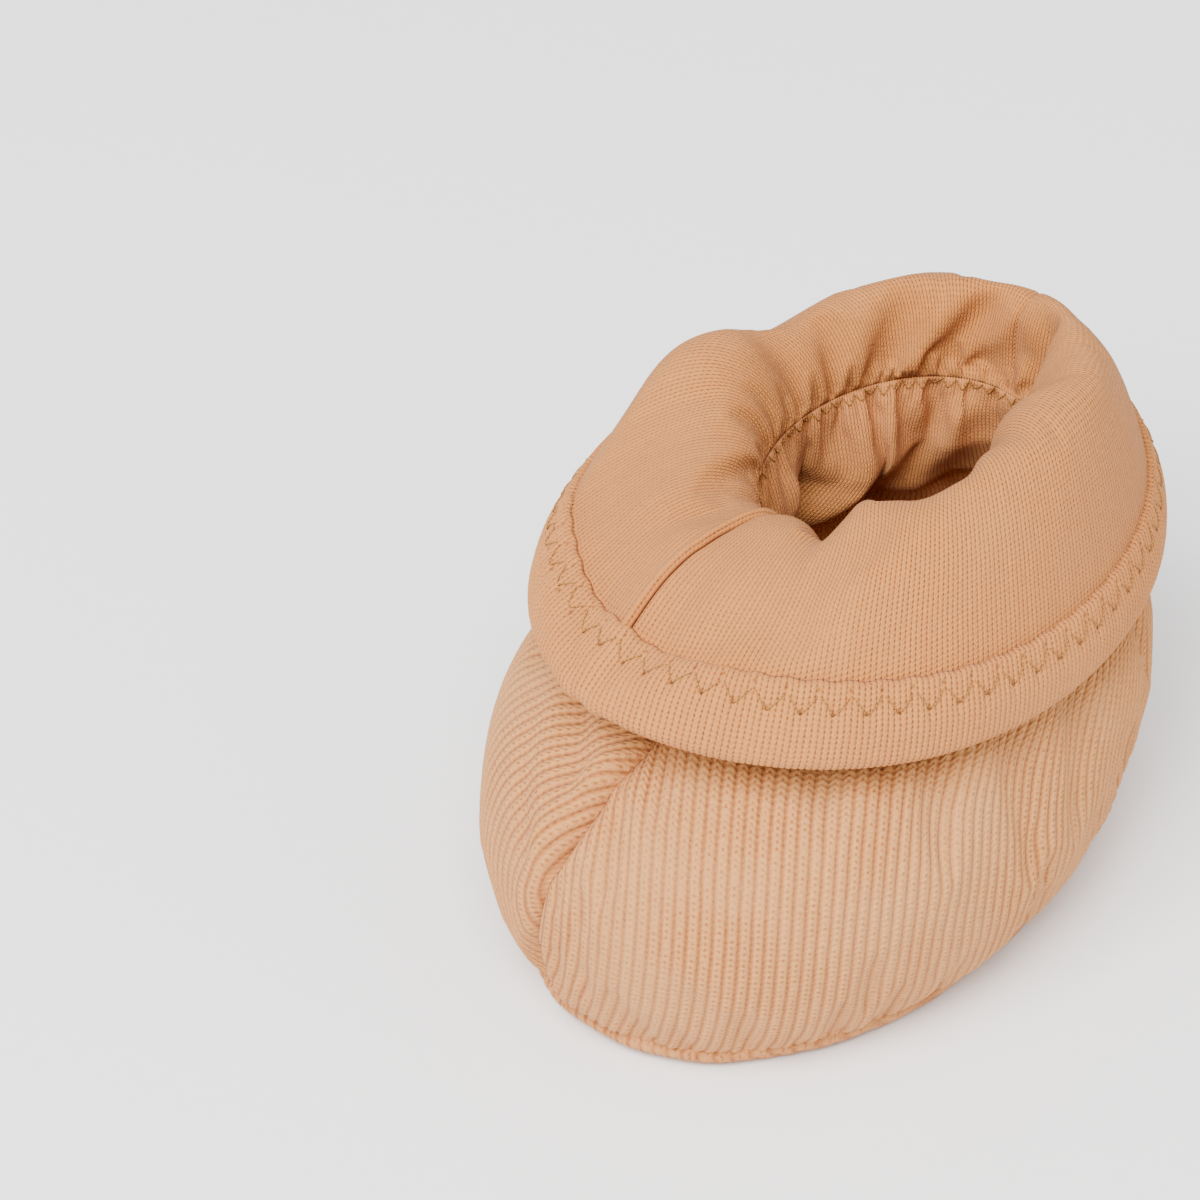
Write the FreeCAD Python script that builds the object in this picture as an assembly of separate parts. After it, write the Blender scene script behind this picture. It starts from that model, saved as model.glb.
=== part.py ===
import FreeCAD, Part
import math
import os
from collections import namedtuple

# A padded cotton-knit baby bootie. Toe points to -Y, wearer's left is +X, +Z is up.
# All sizes in millimetres. Every cloth layer is a closed solid of its real thickness.
#
# A Ring is one level line of the bootie: an egg seen from above, wider toward the toe.
# front_rise lifts the ring at the toe and lowers it at the heel, end_rise lifts both ends.
Ring = namedtuple("Ring", "centre_y half_length half_width egg z front_rise end_rise")

SOLE_EDGE = Ring(0.7, 49.0, 30.0, 0.10, 1.5, 0.0, 0.0)
BELLY = Ring(-1.6, 60.0, 46.5, 0.08, 18.0, 0.0, 0.0)
SHOULDER = Ring(-2.7, 60.5, 42.0, 0.08, 52.5, -2.0, -1.5)
NECK = Ring(13.5, 23.0, 20.5, 0.0, 51.5, 3.0, 0.0)
ELASTIC_LINE = Ring(14.4, 23.0, 17.5, 0.0, 64.0, 0.0, 0.0)
ROLL_INSIDE = Ring(14.4, 24.2, 18.4, 0.0, 83.0, -5.0, -3.0)
ROLL_OUTSIDE = Ring(6.5, 37.6, 32.0, 0.0, 83.0, -5.0, -3.0)
HEM = Ring(4.1, 49.7, 39.2, 0.0, 53.3, 0.7, 1.8)

BODY_WALL = 6.2  # outer cloth, wadding and lining together
CUFF_WALL = 5.4
HEM_WALL = 3.0
OUTER_CLOTH = 1.2
LINING_CLOTH = 0.9
LAYER_GAP = 0.15
PAD_GAP = 0.4
SEAM_GAP_ANGLE = 0.012  # half the opening between left and right panels, radians
BODY_TOP = 0.9  # where the body's curve gives way to the ankle tube, 0 sole to 1 neck
ANKLE_TUBE_OUTER_Z = (56.0, 58.5, 61.0, 63.6)
ANKLE_TUBE_INNER_Z = (52.5, 56.5, 60.0, 63.6)
ELASTIC_HEIGHT = 4.0
ELASTIC_THICK = 1.2
ELASTIC_BEHIND = 1.5  # from the lining's face to the elastic
BINDING_WIDTH = 10.0
BINDING_UNDER = 8.0
BINDING_CLOTH = 0.9
BINDING_GAP = 0.4
HEM_ROUND = 1.0
BINDING_JOIN_ANGLE = math.radians(-95)
BINDING_JOIN_GAP = 0.010  # radians left open where the strip's two ends meet
OUTSOLE_THICK = 1.25
SOLE_PAD = (1.4, 4.0)  # lowest and highest z of the sole wadding
INSOLE = (4.15, 5.05)
INNER_SOLE_INSET = 6.6
THREAD_RADIUS = 0.2
BINDING_STITCHES = 54
BINDING_STITCH_HEIGHT = 3.4
ELASTIC_STITCHES = 60
ELASTIC_STITCH_HEIGHT = 2.2
SEAM_STITCH = 2.4
SEAM_PITCH = 3.2

BODY_STEPS = 9
CUFF_STEPS = 16
BINDING_STEPS = 6
HALF_TURN_STEPS = 16
DEGREE = 3
AS_DRAWN = 1  # a ruled surface joins its two edges without turning either round

LEFT = (SEAM_GAP_ANGLE, math.pi - SEAM_GAP_ANGLE)
RIGHT = (math.pi + SEAM_GAP_ANGLE, 2 * math.pi - SEAM_GAP_ANGLE)


def ring_point(ring, angle, grow=0.0, z=None):
    """A point of a ring at an angle from the toe, the ring grown sideways by grow."""
    width = (ring.half_width + grow) * (1 + ring.egg * math.cos(angle))
    height = ring.z + ring.front_rise * math.cos(angle) + ring.end_rise * math.cos(2 * angle)
    return FreeCAD.Vector(
        width * math.sin(angle),
        ring.centre_y - (ring.half_length + grow) * math.cos(angle),
        height if z is None else z,
    )


def bezier(points, t):
    """A point of the cubic Bezier curve over four points."""
    a, b, c, d = points
    s = 1 - t
    return a * s ** 3 + b * (3 * s * s * t) + c * (3 * s * t * t) + d * t ** 3


def body_point(angle, t):
    """The bootie's outside, from the sole edge at 0 to the neck at 1."""
    return bezier([ring_point(r, angle) for r in (SOLE_EDGE, BELLY, SHOULDER, NECK)], t)


def body_inward(angle, t):
    """Unit normal of the outside, pointing into the bootie."""
    step = 1e-4
    along = body_point(angle, t + step) - body_point(angle, t - step)
    around = body_point(angle + step, t) - body_point(angle - step, t)
    normal = along.cross(around)
    return normal / normal.Length


def body_wall(angle, depth):
    """Points up the body wall, sole edge to elastic line; depth 0 is outside, 1 inside."""
    points = []
    for i in range(BODY_STEPS + 1):
        t = BODY_TOP * i / BODY_STEPS
        points.append(body_point(angle, t) + body_inward(angle, t) * (BODY_WALL * depth))
    for low, high in zip(ANKLE_TUBE_INNER_Z, ANKLE_TUBE_OUTER_Z):
        outside = ring_point(ELASTIC_LINE, angle, CUFF_WALL, high)
        inside = ring_point(ELASTIC_LINE, angle, 0.0, low)
        points.append(outside + (inside - outside) * depth)
    return points


def cuff_point(angle, t, depth):
    """The rolled cuff, elastic line at t 0 to hem at 1; depth 0 is the lining side."""
    face = [ring_point(r, angle) for r in (ELASTIC_LINE, ROLL_INSIDE, ROLL_OUTSIDE, HEM)]
    drop = FreeCAD.Vector(0, 0, 1.1 * CUFF_WALL)
    back = [
        ring_point(ELASTIC_LINE, angle, CUFF_WALL),
        ring_point(ROLL_INSIDE, angle, 0.8 * CUFF_WALL) - drop,
        ring_point(ROLL_OUTSIDE, angle, -0.8 * CUFF_WALL) - drop,
        ring_point(HEM, angle, -HEM_WALL),
    ]
    return bezier([f + (b - f) * depth for f, b in zip(face, back)], t)


def cuff_line(angle, depth, start=0.01, end=0.985):
    """Points over the cuff from the elastic line to just short of the hem."""
    steps = [start + (end - start) * i / CUFF_STEPS for i in range(CUFF_STEPS + 1)]
    return [cuff_point(angle, t, depth) for t in steps]


def hem_distance_t(angle, distance):
    """The cuff's t that lies a cloth distance back from the hem."""
    step = 0.01
    t = 1.0
    left = distance
    while True:
        stride = (cuff_point(angle, t - step, 0) - cuff_point(angle, t, 0)).Length
        if stride >= left:
            return t - step * left / stride
        left -= stride
        t -= step


def binding_line(angle, lift):
    """The binding's U section round the hem, lift away from the cloth that it wraps."""
    points = []
    top = hem_distance_t(angle, BINDING_WIDTH)
    for i in range(BINDING_STEPS + 1):
        t = top + (1 - top) * i / BINDING_STEPS
        face = cuff_point(angle, t, 0)
        out = face - cuff_point(angle, t, 1)
        points.append(face + out / out.Length * lift)
    hem_out = cuff_point(angle, 1, 0.5) - cuff_point(angle, 0.97, 0.5)
    tip = cuff_point(angle, 1, 0.5) + hem_out / hem_out.Length * (lift + HEM_ROUND)
    points.append(tip)
    under = hem_distance_t(angle, BINDING_UNDER)
    for i in range(BINDING_STEPS + 1):
        t = 1 + (under - 1) * i / BINDING_STEPS
        back = cuff_point(angle, t, 1)
        out = back - cuff_point(angle, t, 0)
        points.append(back + out / out.Length * lift)
    return points


def angles_between(span, steps=HALF_TURN_STEPS):
    return [span[0] + (span[1] - span[0]) * i / steps for i in range(steps + 1)]


def spread_knots(count):
    """Evenly spread knots and their multiplicities for a cubic over that many points."""
    inner = count - DEGREE - 1
    knots = [i / (inner + 1) for i in range(inner + 2)]
    return knots, [DEGREE + 1] + [1] * inner + [DEGREE + 1]


def skin(rows):
    """A smooth surface steered by rows of points. Layers steered alike can't cross."""
    u_knots, u_counts = spread_knots(len(rows))
    v_knots, v_counts = spread_knots(len(rows[0]))
    surface = Part.BSplineSurface()
    surface.buildFromPolesMultsKnots(
        rows, u_counts, v_counts, u_knots, v_knots, False, False, DEGREE, DEGREE
    )
    return surface


def border(surface):
    """The four edges of a surface."""
    u0, u1, v0, v1 = surface.bounds()
    curves = [surface.uIso(u0), surface.uIso(u1), surface.vIso(v0), surface.vIso(v1)]
    return [curve.toShape() for curve in curves]


def cloth(line, near, far, span, steps=HALF_TURN_STEPS):
    """A closed cloth solid between two depths of a section line, over a span of angles."""
    angles = angles_between(span, steps)
    outside = skin([line(a, near) for a in angles])
    inside = skin([line(a, far) for a in angles])
    faces = [outside.toShape(), inside.toShape()]
    for a, b in zip(border(outside), border(inside)):
        faces.append(Part.makeRuledSurface(a, b, AS_DRAWN))
    shell = Part.makeShell(faces)
    shell.sewShape()
    solid = Part.makeSolid(shell)
    if solid.Volume < 0:
        solid.reverse()
    return solid


def sole_plate(inset, low, high):
    """A flat egg-shaped sole layer between two heights."""
    turn = [2 * math.pi * i / 32 for i in range(32)]
    outline = Part.BSplineCurve()
    outline.interpolate([ring_point(SOLE_EDGE, a, -inset, low) for a in turn], PeriodicFlag=True)
    face = Part.Face(Part.Wire(outline.toShape()))
    return face.extrude(FreeCAD.Vector(0, 0, high - low))


def stitch(start, end):
    """One straight run of thread."""
    way = end - start
    return Part.makeCylinder(THREAD_RADIUS, way.Length, start, way)


def zigzag(count, high_point, low_point):
    """A closed zigzag of thread: high_point and low_point give its tips at an angle."""
    runs = []
    for i in range(count):
        here = 2 * math.pi * i / count
        middle = here + math.pi / count
        following = here + 2 * math.pi / count
        shy = 0.06 * math.pi / count
        runs.append(stitch(low_point(here + shy), high_point(middle - shy)))
        runs.append(stitch(high_point(middle + shy), low_point(following - shy)))
    return Part.makeCompound(runs)


def seam_run(points):
    """Short stitches laid end to end along a seam's opening."""
    curve = Part.BSplineCurve()
    curve.interpolate(points)
    length = curve.length()
    runs = []
    for i in range(int(length / SEAM_PITCH)):
        start = i * SEAM_PITCH + 0.5 * (SEAM_PITCH - SEAM_STITCH)
        ends = [curve.parameterAtDistance(start + reach) for reach in (0, SEAM_STITCH)]
        runs.append(stitch(curve.value(ends[0]), curve.value(ends[1])))
    return runs


def lifted_cuff(angle, t, lift):
    face = cuff_point(angle, t, 0)
    out = face - cuff_point(angle, t, 1)
    return face + out / out.Length * lift


def body_layers():
    """The left and right cloth, wadding and lining of the foot and ankle."""
    outer_end = OUTER_CLOTH / BODY_WALL
    pad_start = (OUTER_CLOTH + PAD_GAP) / BODY_WALL
    lining_start = 1 - LINING_CLOTH / BODY_WALL
    pad_end = lining_start - PAD_GAP / BODY_WALL
    nodes = {}
    for side, span in (("left", LEFT), ("right", RIGHT)):
        nodes["outer_panel_" + side] = cloth(body_wall, 0, outer_end, span)
        nodes["lining_panel_" + side] = cloth(body_wall, lining_start, 1, span)
        nodes["wadding_" + side] = cloth(wadding_wall, pad_start, pad_end, span)
    return nodes


def wadding_wall(angle, depth):
    """The body wadding stops under the elastic's channel."""
    return body_wall(angle, depth)[:-2]


def cuff_layers():
    """The folded cuff: lining-side facing, wadding and underside, left and right."""
    cloth_share = LINING_CLOTH / CUFF_WALL
    gap_share = LAYER_GAP / CUFF_WALL
    nodes = {}
    for side, span in (("left", LEFT), ("right", RIGHT)):
        nodes["cuff_facing_" + side] = cloth(cuff_line, 0, cloth_share, span)
        pad = (cloth_share + gap_share, 1 - cloth_share - gap_share)
        nodes["cuff_wadding_" + side] = cloth(cuff_wadding_line, pad[0], pad[1], span)
        nodes["cuff_underside_" + side] = cloth(cuff_line, 1 - cloth_share, 1, span)
    return nodes


def cuff_wadding_line(angle, depth):
    return cuff_line(angle, depth, 0.06, 0.9)


def elastic_line(angle, depth):
    """The elastic's section: a short upright strip behind the lining."""
    behind = ELASTIC_BEHIND + depth * ELASTIC_THICK
    top = ANKLE_TUBE_OUTER_Z[-1]
    heights = [top - ELASTIC_HEIGHT * (1 - i / 3) for i in range(4)]
    return [ring_point(ELASTIC_LINE, angle, behind, z) for z in heights]


def rings():
    """The strips that go right round: the hem binding and the ankle elastic."""
    span = (BINDING_JOIN_ANGLE, BINDING_JOIN_ANGLE + 2 * math.pi - BINDING_JOIN_GAP)
    whole = 2 * HALF_TURN_STEPS
    return {
        "cuff_binding": cloth(binding_line, BINDING_GAP, BINDING_GAP + BINDING_CLOTH, span, whole),
        "ankle_elastic": cloth(elastic_line, 0, 1, (math.pi + 0.01, 3 * math.pi - 0.01), whole),
    }


def soles():
    return {
        "outsole": sole_plate(0.0, 0.0, OUTSOLE_THICK),
        "wadding_sole": sole_plate(INNER_SOLE_INSET, *SOLE_PAD),
        "insole_lining": sole_plate(INNER_SOLE_INSET, *INSOLE),
    }


def threads():
    """Every sewing thread, as groups of short runs."""
    on_binding = BINDING_GAP + BINDING_CLOTH + THREAD_RADIUS + LAYER_GAP
    on_lining = THREAD_RADIUS + LAYER_GAP

    def binding_tip(angle, back):
        return lifted_cuff(angle, hem_distance_t(angle, back), on_binding)

    def binding_high(angle):
        return binding_tip(angle, BINDING_WIDTH - 0.5)

    def binding_low(angle):
        return binding_tip(angle, BINDING_WIDTH - 0.5 - BINDING_STITCH_HEIGHT)

    def elastic_tip(angle, rise):
        return ring_point(ELASTIC_LINE, angle, -on_lining, ELASTIC_LINE.z + rise)

    def elastic_high(angle):
        return elastic_tip(angle, -0.6)

    def elastic_low(angle):
        return elastic_tip(angle, -0.6 - ELASTIC_STITCH_HEIGHT)

    outer_middle = 0.5 * OUTER_CLOTH / BODY_WALL
    lining_middle = 1 - 0.5 * LINING_CLOTH / BODY_WALL
    facing_middle = 0.5 * LINING_CLOTH / CUFF_WALL
    lining_runs = []
    for angle in (0, math.pi):
        lining_runs += seam_run(body_wall(angle, lining_middle))
        lining_runs += seam_run(cuff_line(angle, facing_middle))
    sole_angles = angles_between((0, 2 * math.pi), 4 * HALF_TURN_STEPS)
    sole_edge = [ring_point(SOLE_EDGE, a, -1.2, 0.5 * (OUTSOLE_THICK + 1.75)) for a in sole_angles]
    return {
        "binding_zigzag_thread": zigzag(BINDING_STITCHES, binding_high, binding_low),
        "ankle_zigzag_thread": zigzag(ELASTIC_STITCHES, elastic_high, elastic_low),
        "front_seam_thread": Part.makeCompound(seam_run(body_wall(0, outer_middle))),
        "back_seam_thread": Part.makeCompound(seam_run(body_wall(math.pi, outer_middle))),
        "lining_seam_thread": Part.makeCompound(lining_runs),
        "sole_seam_thread": Part.makeCompound(seam_run(sole_edge)),
    }


def main():
    nodes = {}
    for group in (body_layers(), cuff_layers(), rings(), soles(), threads()):
        nodes.update(group)
    box = Part.makeCompound(list(nodes.values())).optimalBoundingBox(False, False)
    centring = FreeCAD.Vector(-box.Center.x, -box.Center.y, -box.ZMin)
    os.makedirs("parts", exist_ok=True)
    for name, shape in nodes.items():
        shape.translate(centring)
        shape.exportStep("parts/" + name + ".step")
        lumps = len(shape.Solids)
        print(f"{name:24s} {lumps:4d} solid {shape.isValid()} {shape.Volume:10.1f} mm3")
    print("moved by", centring)
    print("size", round(box.XLength, 2), round(box.YLength, 2), round(box.ZLength, 2))


main()
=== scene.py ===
# %% [markdown]
# # A padded baby bootie, cell by cell
# The real thing is a soft baby shoe of cotton knit. Its foot is wide-rib knit over wadding, cut in two
# panels that meet in a seam over the toe. A fine-rib lining comes up out of it, is gathered by an elastic
# at the ankle, and turns down over the outside as a plump cuff with a bound, zigzag-stitched hem.
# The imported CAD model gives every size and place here, so this lesson only makes the looks: cloth that is
# simulated, knit that is shaped, and thread that is sewn.

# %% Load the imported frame
import math

import bmesh
import bpy
import numpy as np
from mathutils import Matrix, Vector


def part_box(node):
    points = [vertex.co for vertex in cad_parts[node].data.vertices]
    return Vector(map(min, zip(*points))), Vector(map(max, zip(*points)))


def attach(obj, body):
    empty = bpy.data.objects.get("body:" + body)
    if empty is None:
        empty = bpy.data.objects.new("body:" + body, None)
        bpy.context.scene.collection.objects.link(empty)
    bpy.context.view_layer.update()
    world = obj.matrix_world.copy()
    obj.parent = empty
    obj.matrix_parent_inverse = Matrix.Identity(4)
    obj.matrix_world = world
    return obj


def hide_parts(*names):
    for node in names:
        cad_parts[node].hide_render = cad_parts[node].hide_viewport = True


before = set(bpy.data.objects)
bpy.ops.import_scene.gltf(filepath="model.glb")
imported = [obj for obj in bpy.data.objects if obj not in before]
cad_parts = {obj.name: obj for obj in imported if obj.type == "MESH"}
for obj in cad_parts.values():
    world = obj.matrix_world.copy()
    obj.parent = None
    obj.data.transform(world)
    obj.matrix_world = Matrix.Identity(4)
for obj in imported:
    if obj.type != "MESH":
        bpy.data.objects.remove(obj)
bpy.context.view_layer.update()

MM = 0.001
print("nodes in the frame:", len(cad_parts))

# %% [markdown]
# ## Rings: the bootie's level lines
# Every line that goes round the bootie is an egg seen from above, a little wider toward the toe. A cloth
# surface is then a curve steered by a few such rings, the way a boat's hull is faired from its waterlines.
# That is easier to keep smooth than a mesh pulled by hand. The rings take their sizes from the CAD
# nodes' boxes, so the cloth always fits the frame.

# %% Rings measured on the frame
def span_of(*nodes):
    """The lowest and highest corner of several CAD nodes together."""
    corners = np.array([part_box(n) for n in nodes])
    return corners[:, 0].min(0), corners[:, 1].max(0)


class Ring:
    """An egg-shaped level line. Angle 0 is the toe, a quarter turn is the wearer's left."""

    def __init__(self, centre_y, half_length, half_width, z, egg=0.0, front=0.0, ends=0.0, left=0.0):
        self.centre_y = centre_y
        self.half_length = half_length
        self.half_width = half_width
        self.z = z
        self.egg = egg
        self.rises = (front, ends, left)

    def at(self, angle, grow=0.0):
        c, s = np.cos(angle), np.sin(angle)
        front, ends, left = self.rises
        x = (self.half_width + grow) * s * (1 + self.egg * c)
        y = self.centre_y - (self.half_length + grow) * c
        z = self.z + front * c + ends * np.cos(2 * angle) + left * s
        return np.stack([x, y, z + 0 * x], -1)


def half_sizes(low, high):
    return (high - low) / 2, (high + low) / 2


foot_half, foot_mid = half_sizes(*span_of("outer_panel_left", "outer_panel_right"))
sole_half, sole_mid = half_sizes(*span_of("outsole"))
hem_half, hem_mid = half_sizes(*span_of("cuff_binding"))
elastic_half, elastic_mid = half_sizes(*span_of("ankle_elastic"))
facing_top = span_of("cuff_facing_left", "cuff_facing_right")[1][2]
ELASTIC_DEPTH = 2.7 * MM  # the elastic's outer side lies this far behind the lining's face
BAND_LIFT = 0.85 * MM  # the binding stands this far off the hem ring
CREST_LEAN = 4.8 * MM  # the roll is plumper on the wearer's left
panel_top = foot_mid[2] + foot_half[2]
elastic_z = elastic_mid[2] + elastic_half[2] + 0.4 * MM
ankle_half = elastic_half - ELASTIC_DEPTH

SOLE_EDGE = Ring(sole_mid[1], sole_half[1], sole_half[0], foot_mid[2] - foot_half[2], egg=0.10)
BELLY = Ring(-0.020 * foot_half[1], 1.085 * foot_half[1], 1.172 * foot_half[0], 0.283 * panel_top, egg=0.08)
SHOULDER = Ring(-0.040 * foot_half[1], 1.094 * foot_half[1], 1.060 * foot_half[0], 0.826 * panel_top,
                egg=0.08, front=-2.0 * MM, ends=-1.5 * MM)
NECK = Ring(elastic_mid[1] - 1 * MM, ankle_half[1], ankle_half[0] + 3 * MM, elastic_z - 12.5 * MM,
            front=3.0 * MM)
ELASTIC = Ring(elastic_mid[1], ankle_half[1], ankle_half[0], elastic_z)
crest_z = facing_top + 3.1 * MM
ROLL_IN = Ring(elastic_mid[1], ankle_half[1] + 1.2 * MM, ankle_half[0] + 0.9 * MM, crest_z,
               front=-5.0 * MM, ends=-3.0 * MM, left=CREST_LEAN)
ROLL_OUT = Ring(hem_mid[1] + 2.4 * MM, 0.756 * hem_half[1], 0.80 * hem_half[0], crest_z,
                front=-5.0 * MM, ends=-3.0 * MM, left=CREST_LEAN)
hem_z = hem_mid[2] - hem_half[2] + 4.5 * MM
HEM = Ring(hem_mid[1], hem_half[1] - BAND_LIFT, hem_half[0] - BAND_LIFT, hem_z,
           front=1.9 * MM, ends=1.8 * MM)
print("foot half sizes, mm:", (foot_half / MM).round(1), " elastic ring, mm:", (ankle_half / MM).round(1))

# %% [markdown]
# ## Smooth surfaces through rings
# A cubic Bezier curve over four rings gives the foot from sole to neck, and another gives the roll from
# the elastic to the hem. The lining runs inside the foot at the wall's depth, then up the ankle tube.
# All are plain functions of an angle and a height share, so any number of points can be asked of them.

# %% The foot, the lining wall and the roll as functions
BODY_WALL = 6.2 * MM
CUFF_WALL = 5.4 * MM
HEM_WALL = 3.0 * MM
FOOT_SHARE = 0.9  # the foot's curve hands over to the ankle tube here
TURN = 2 * math.pi


def bezier(a, b, c, d, t):
    s = 1 - t
    return a * s ** 3 + b * 3 * s * s * t + c * 3 * s * t * t + d * t ** 3


def foot_skin(angle, t):
    """The foot's outside, sole edge at t 0, neck at t 1."""
    t = np.asarray(t)[..., None]
    return bezier(SOLE_EDGE.at(angle), BELLY.at(angle), SHOULDER.at(angle), NECK.at(angle), t)


def unit(v):
    return v / np.maximum(np.linalg.norm(v, axis=-1, keepdims=True), 1e-12)


def foot_inward(angle, t, step=1e-4):
    along = foot_skin(angle, t + step) - foot_skin(angle, t - step)
    around = foot_skin(angle + step, t) - foot_skin(angle - step, t)
    return unit(np.cross(along, around))


def roll_skin(angle, t, depth=0.0):
    """The cuff's roll, elastic line at t 0, hem at t 1; depth 0 is its face, 1 its underside."""
    t = np.asarray(t)[..., None]
    drop = np.array([0, 0, 1.1 * CUFF_WALL])
    face = [ELASTIC.at(angle), ROLL_IN.at(angle), ROLL_OUT.at(angle), HEM.at(angle)]
    back = [
        ELASTIC.at(angle, CUFF_WALL),
        ROLL_IN.at(angle, 0.8 * CUFF_WALL) - drop,
        ROLL_OUT.at(angle, -0.8 * CUFF_WALL) - drop,
        HEM.at(angle, -HEM_WALL),
    ]
    return bezier(*[f + (b - f) * depth for f, b in zip(face, back)], t)


print("roll crest, mm:", round(roll_skin(np.array([1.57]), np.array([0.5]))[0, 2] / MM, 1))

# %% [markdown]
# ## Rows in even steps
# A curve's own steps bunch up where it bends, which would stretch the knit there. So every grid is walked
# down each column and laid out again in even lengths of cloth.

# %% Even steps, and the wall of the foot
def even_steps(rows, count):
    """Rows of points (rows, columns, 3) made even in length down each column."""
    step = np.linalg.norm(np.diff(rows, axis=0), axis=-1)
    walked = np.vstack([np.zeros(rows.shape[1]), np.cumsum(step, axis=0)])
    share = walked / walked[-1]
    wanted = np.linspace(0, 1, count)
    out = np.empty((count, rows.shape[1], 3))
    for j in range(rows.shape[1]):
        for k in range(3):
            out[:, j, k] = np.interp(wanted, share[:, j], rows[:, j, k])
    return out


def foot_wall(angle, depth):
    """Rows up the foot's wall from the sole edge to the ankle tube's top, at a depth share."""
    rows = []
    for t in np.linspace(0, FOOT_SHARE, 28):
        t = np.full(angle.shape, t)
        rows.append(foot_skin(angle, t) + foot_inward(angle, t) * BODY_WALL * depth)
    for inner, outer in ((-11.5, -8.0), (-9.5, -6.7), (-7.5, -5.5), (-4.0, -3.0), (-0.4, -0.4)):
        outside = ELASTIC.at(angle, CUFF_WALL) + [0, 0, outer * MM]
        inside = ELASTIC.at(angle) + [0, 0, inner * MM]
        rows.append(outside + (inside - outside) * depth)
    return np.array(rows)


print("rows up the foot's wall:", len(foot_wall(np.zeros(1), 0.0)))

# %% [markdown]
# ## Cloth that is gathered, not sculpted
# The lining and the cuff's face are one sleeve of fine rib. It is cut as wide as the hem needs, and the
# elastic draws it in at the ankle, so the spare width has to go somewhere: it buckles into gathers inside
# the opening and into dimples over the roll. Such folds are hard to draw and easy to simulate. The sleeve
# starts as wide as it is cut. Its rows at the insole, the elastic and the hem are pinned, as the sewing
# holds them, and the pins draw it in to its sewn shape while the wadding pushes as a gentle pressure.

# %% A sleeve of cloth as a grid
SLEEVE_COLUMNS = 240
LINING_ROWS = 34
ROLL_ROWS = 46
SIM_FRAMES = 30
DRAWN_FRAME = 14
SIM_SCALE = 10
ring_angles = np.arange(SLEEVE_COLUMNS) * TURN / SLEEVE_COLUMNS


def link(mesh_object):
    bpy.context.scene.collection.objects.link(mesh_object)
    return mesh_object


def grid_faces(rows, columns, closed):
    """Quads of a grid of rows and columns, closed round or open."""
    r = np.arange(rows - 1)[:, None]
    c = np.arange(columns if closed else columns - 1)[None, :]
    d = (c + 1) % columns
    corners = [r * columns + c, r * columns + d, (r + 1) * columns + d, (r + 1) * columns + c]
    return np.stack([np.broadcast_to(k, (rows - 1, c.shape[1])) for k in corners], -1).reshape(-1, 4)


def mesh_object(name, points, faces):
    mesh = bpy.data.meshes.new(name)
    mesh.from_pydata(points.reshape(-1, 3).tolist(), [], faces.tolist())
    mesh.update()
    return link(bpy.data.objects.new(name, mesh))


def read_points(obj):
    dg = bpy.context.evaluated_depsgraph_get()
    flat = np.empty(len(obj.data.vertices) * 3, np.float32)
    obj.evaluated_get(dg).data.vertices.foreach_get("co", flat)
    return flat.reshape(-1, 3).astype(float)


print("sleeve grid:", LINING_ROWS + ROLL_ROWS, "rows by", SLEEVE_COLUMNS)

# %% [markdown]
# ## One cloth simulation for both cloths
# The cloth starts wide, as it was cut, and its pinned rows are drawn in over the first frames by a shape
# key, the way an elastic draws cloth in. The springs and a little pressure then find the folds. It runs
# ten times too large, because Blender's cloth settings are tuned for garments.

# %% The cloth simulation
def simulate_sheet(name, cut, drawn, pins, pressure, bending):
    """Blender's Cloth on a closed-round grid: it starts as cut, and its pinned points are drawn in."""
    rows, columns = cut.shape[:2]
    cloth_object = mesh_object(name, cut * SIM_SCALE, grid_faces(rows, columns, True))
    cloth_object.shape_key_add(name="Cut")
    key = cloth_object.shape_key_add(name="Drawn in")
    key.data.foreach_set("co", (drawn * SIM_SCALE).reshape(-1).astype(np.float32))
    key.keyframe_insert("value", frame=1)
    key.value = 1
    key.keyframe_insert("value", frame=DRAWN_FRAME)
    group = cloth_object.vertex_groups.new(name="pins")
    for weight in np.unique(pins[pins > 0]):
        group.add(np.flatnonzero(pins.ravel() == weight).tolist(), float(weight), "REPLACE")
    modifier = cloth_object.modifiers.new("Cloth", "CLOTH")
    cloth = modifier.settings
    cloth.quality = 5
    cloth.mass = 0.25
    cloth.tension_stiffness = cloth.compression_stiffness = 20
    cloth.shear_stiffness = 5
    cloth.bending_stiffness = bending
    cloth.tension_damping = cloth.compression_damping = cloth.shear_damping = 2
    cloth.air_damping = 1
    cloth.vertex_group_mass = "pins"
    cloth.pin_stiffness = 1
    cloth.use_pressure = pressure != 0
    cloth.uniform_pressure_force = pressure
    cloth.effector_weights.gravity = 0
    modifier.collision_settings.use_collision = False
    modifier.point_cache.frame_end = SIM_FRAMES
    scene = bpy.context.scene
    for frame_number in range(1, SIM_FRAMES + 1):
        scene.frame_set(frame_number)
    settled = read_points(cloth_object).reshape(cut.shape) / SIM_SCALE
    bpy.data.objects.remove(cloth_object)
    scene.frame_set(1)
    return settled


print("frames in a simulation:", SIM_FRAMES, "drawn in by frame", DRAWN_FRAME)

# %% [markdown]
# ## The sleeve is cut, drawn in and let settle
# The spare width is widest at the ankle and dies out toward the insole and the hem. Left alone, the springs
# would fold it in perfectly even flutes, which no hand-sewn bootie has, so a small seeded unevenness starts
# the folds off. The simulation also swells the sleeve a little overall. Only the folds are wanted, so the
# slow part of the movement round each row is taken out again and the cloth keeps its measured shape.

# %% Simulate the sleeve
SPARE_WIDTH = 0.38  # of the ankle's girth
UNEVEN = 1.2 * MM
FOLD_LIMIT = 5.5 * MM
SLOW_WAVES = 3  # round a row, fewer waves than this are shape and not folds
ELASTIC_ROW = LINING_ROWS
LAST_ROW = LINING_ROWS + ROLL_ROWS - 1


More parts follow.
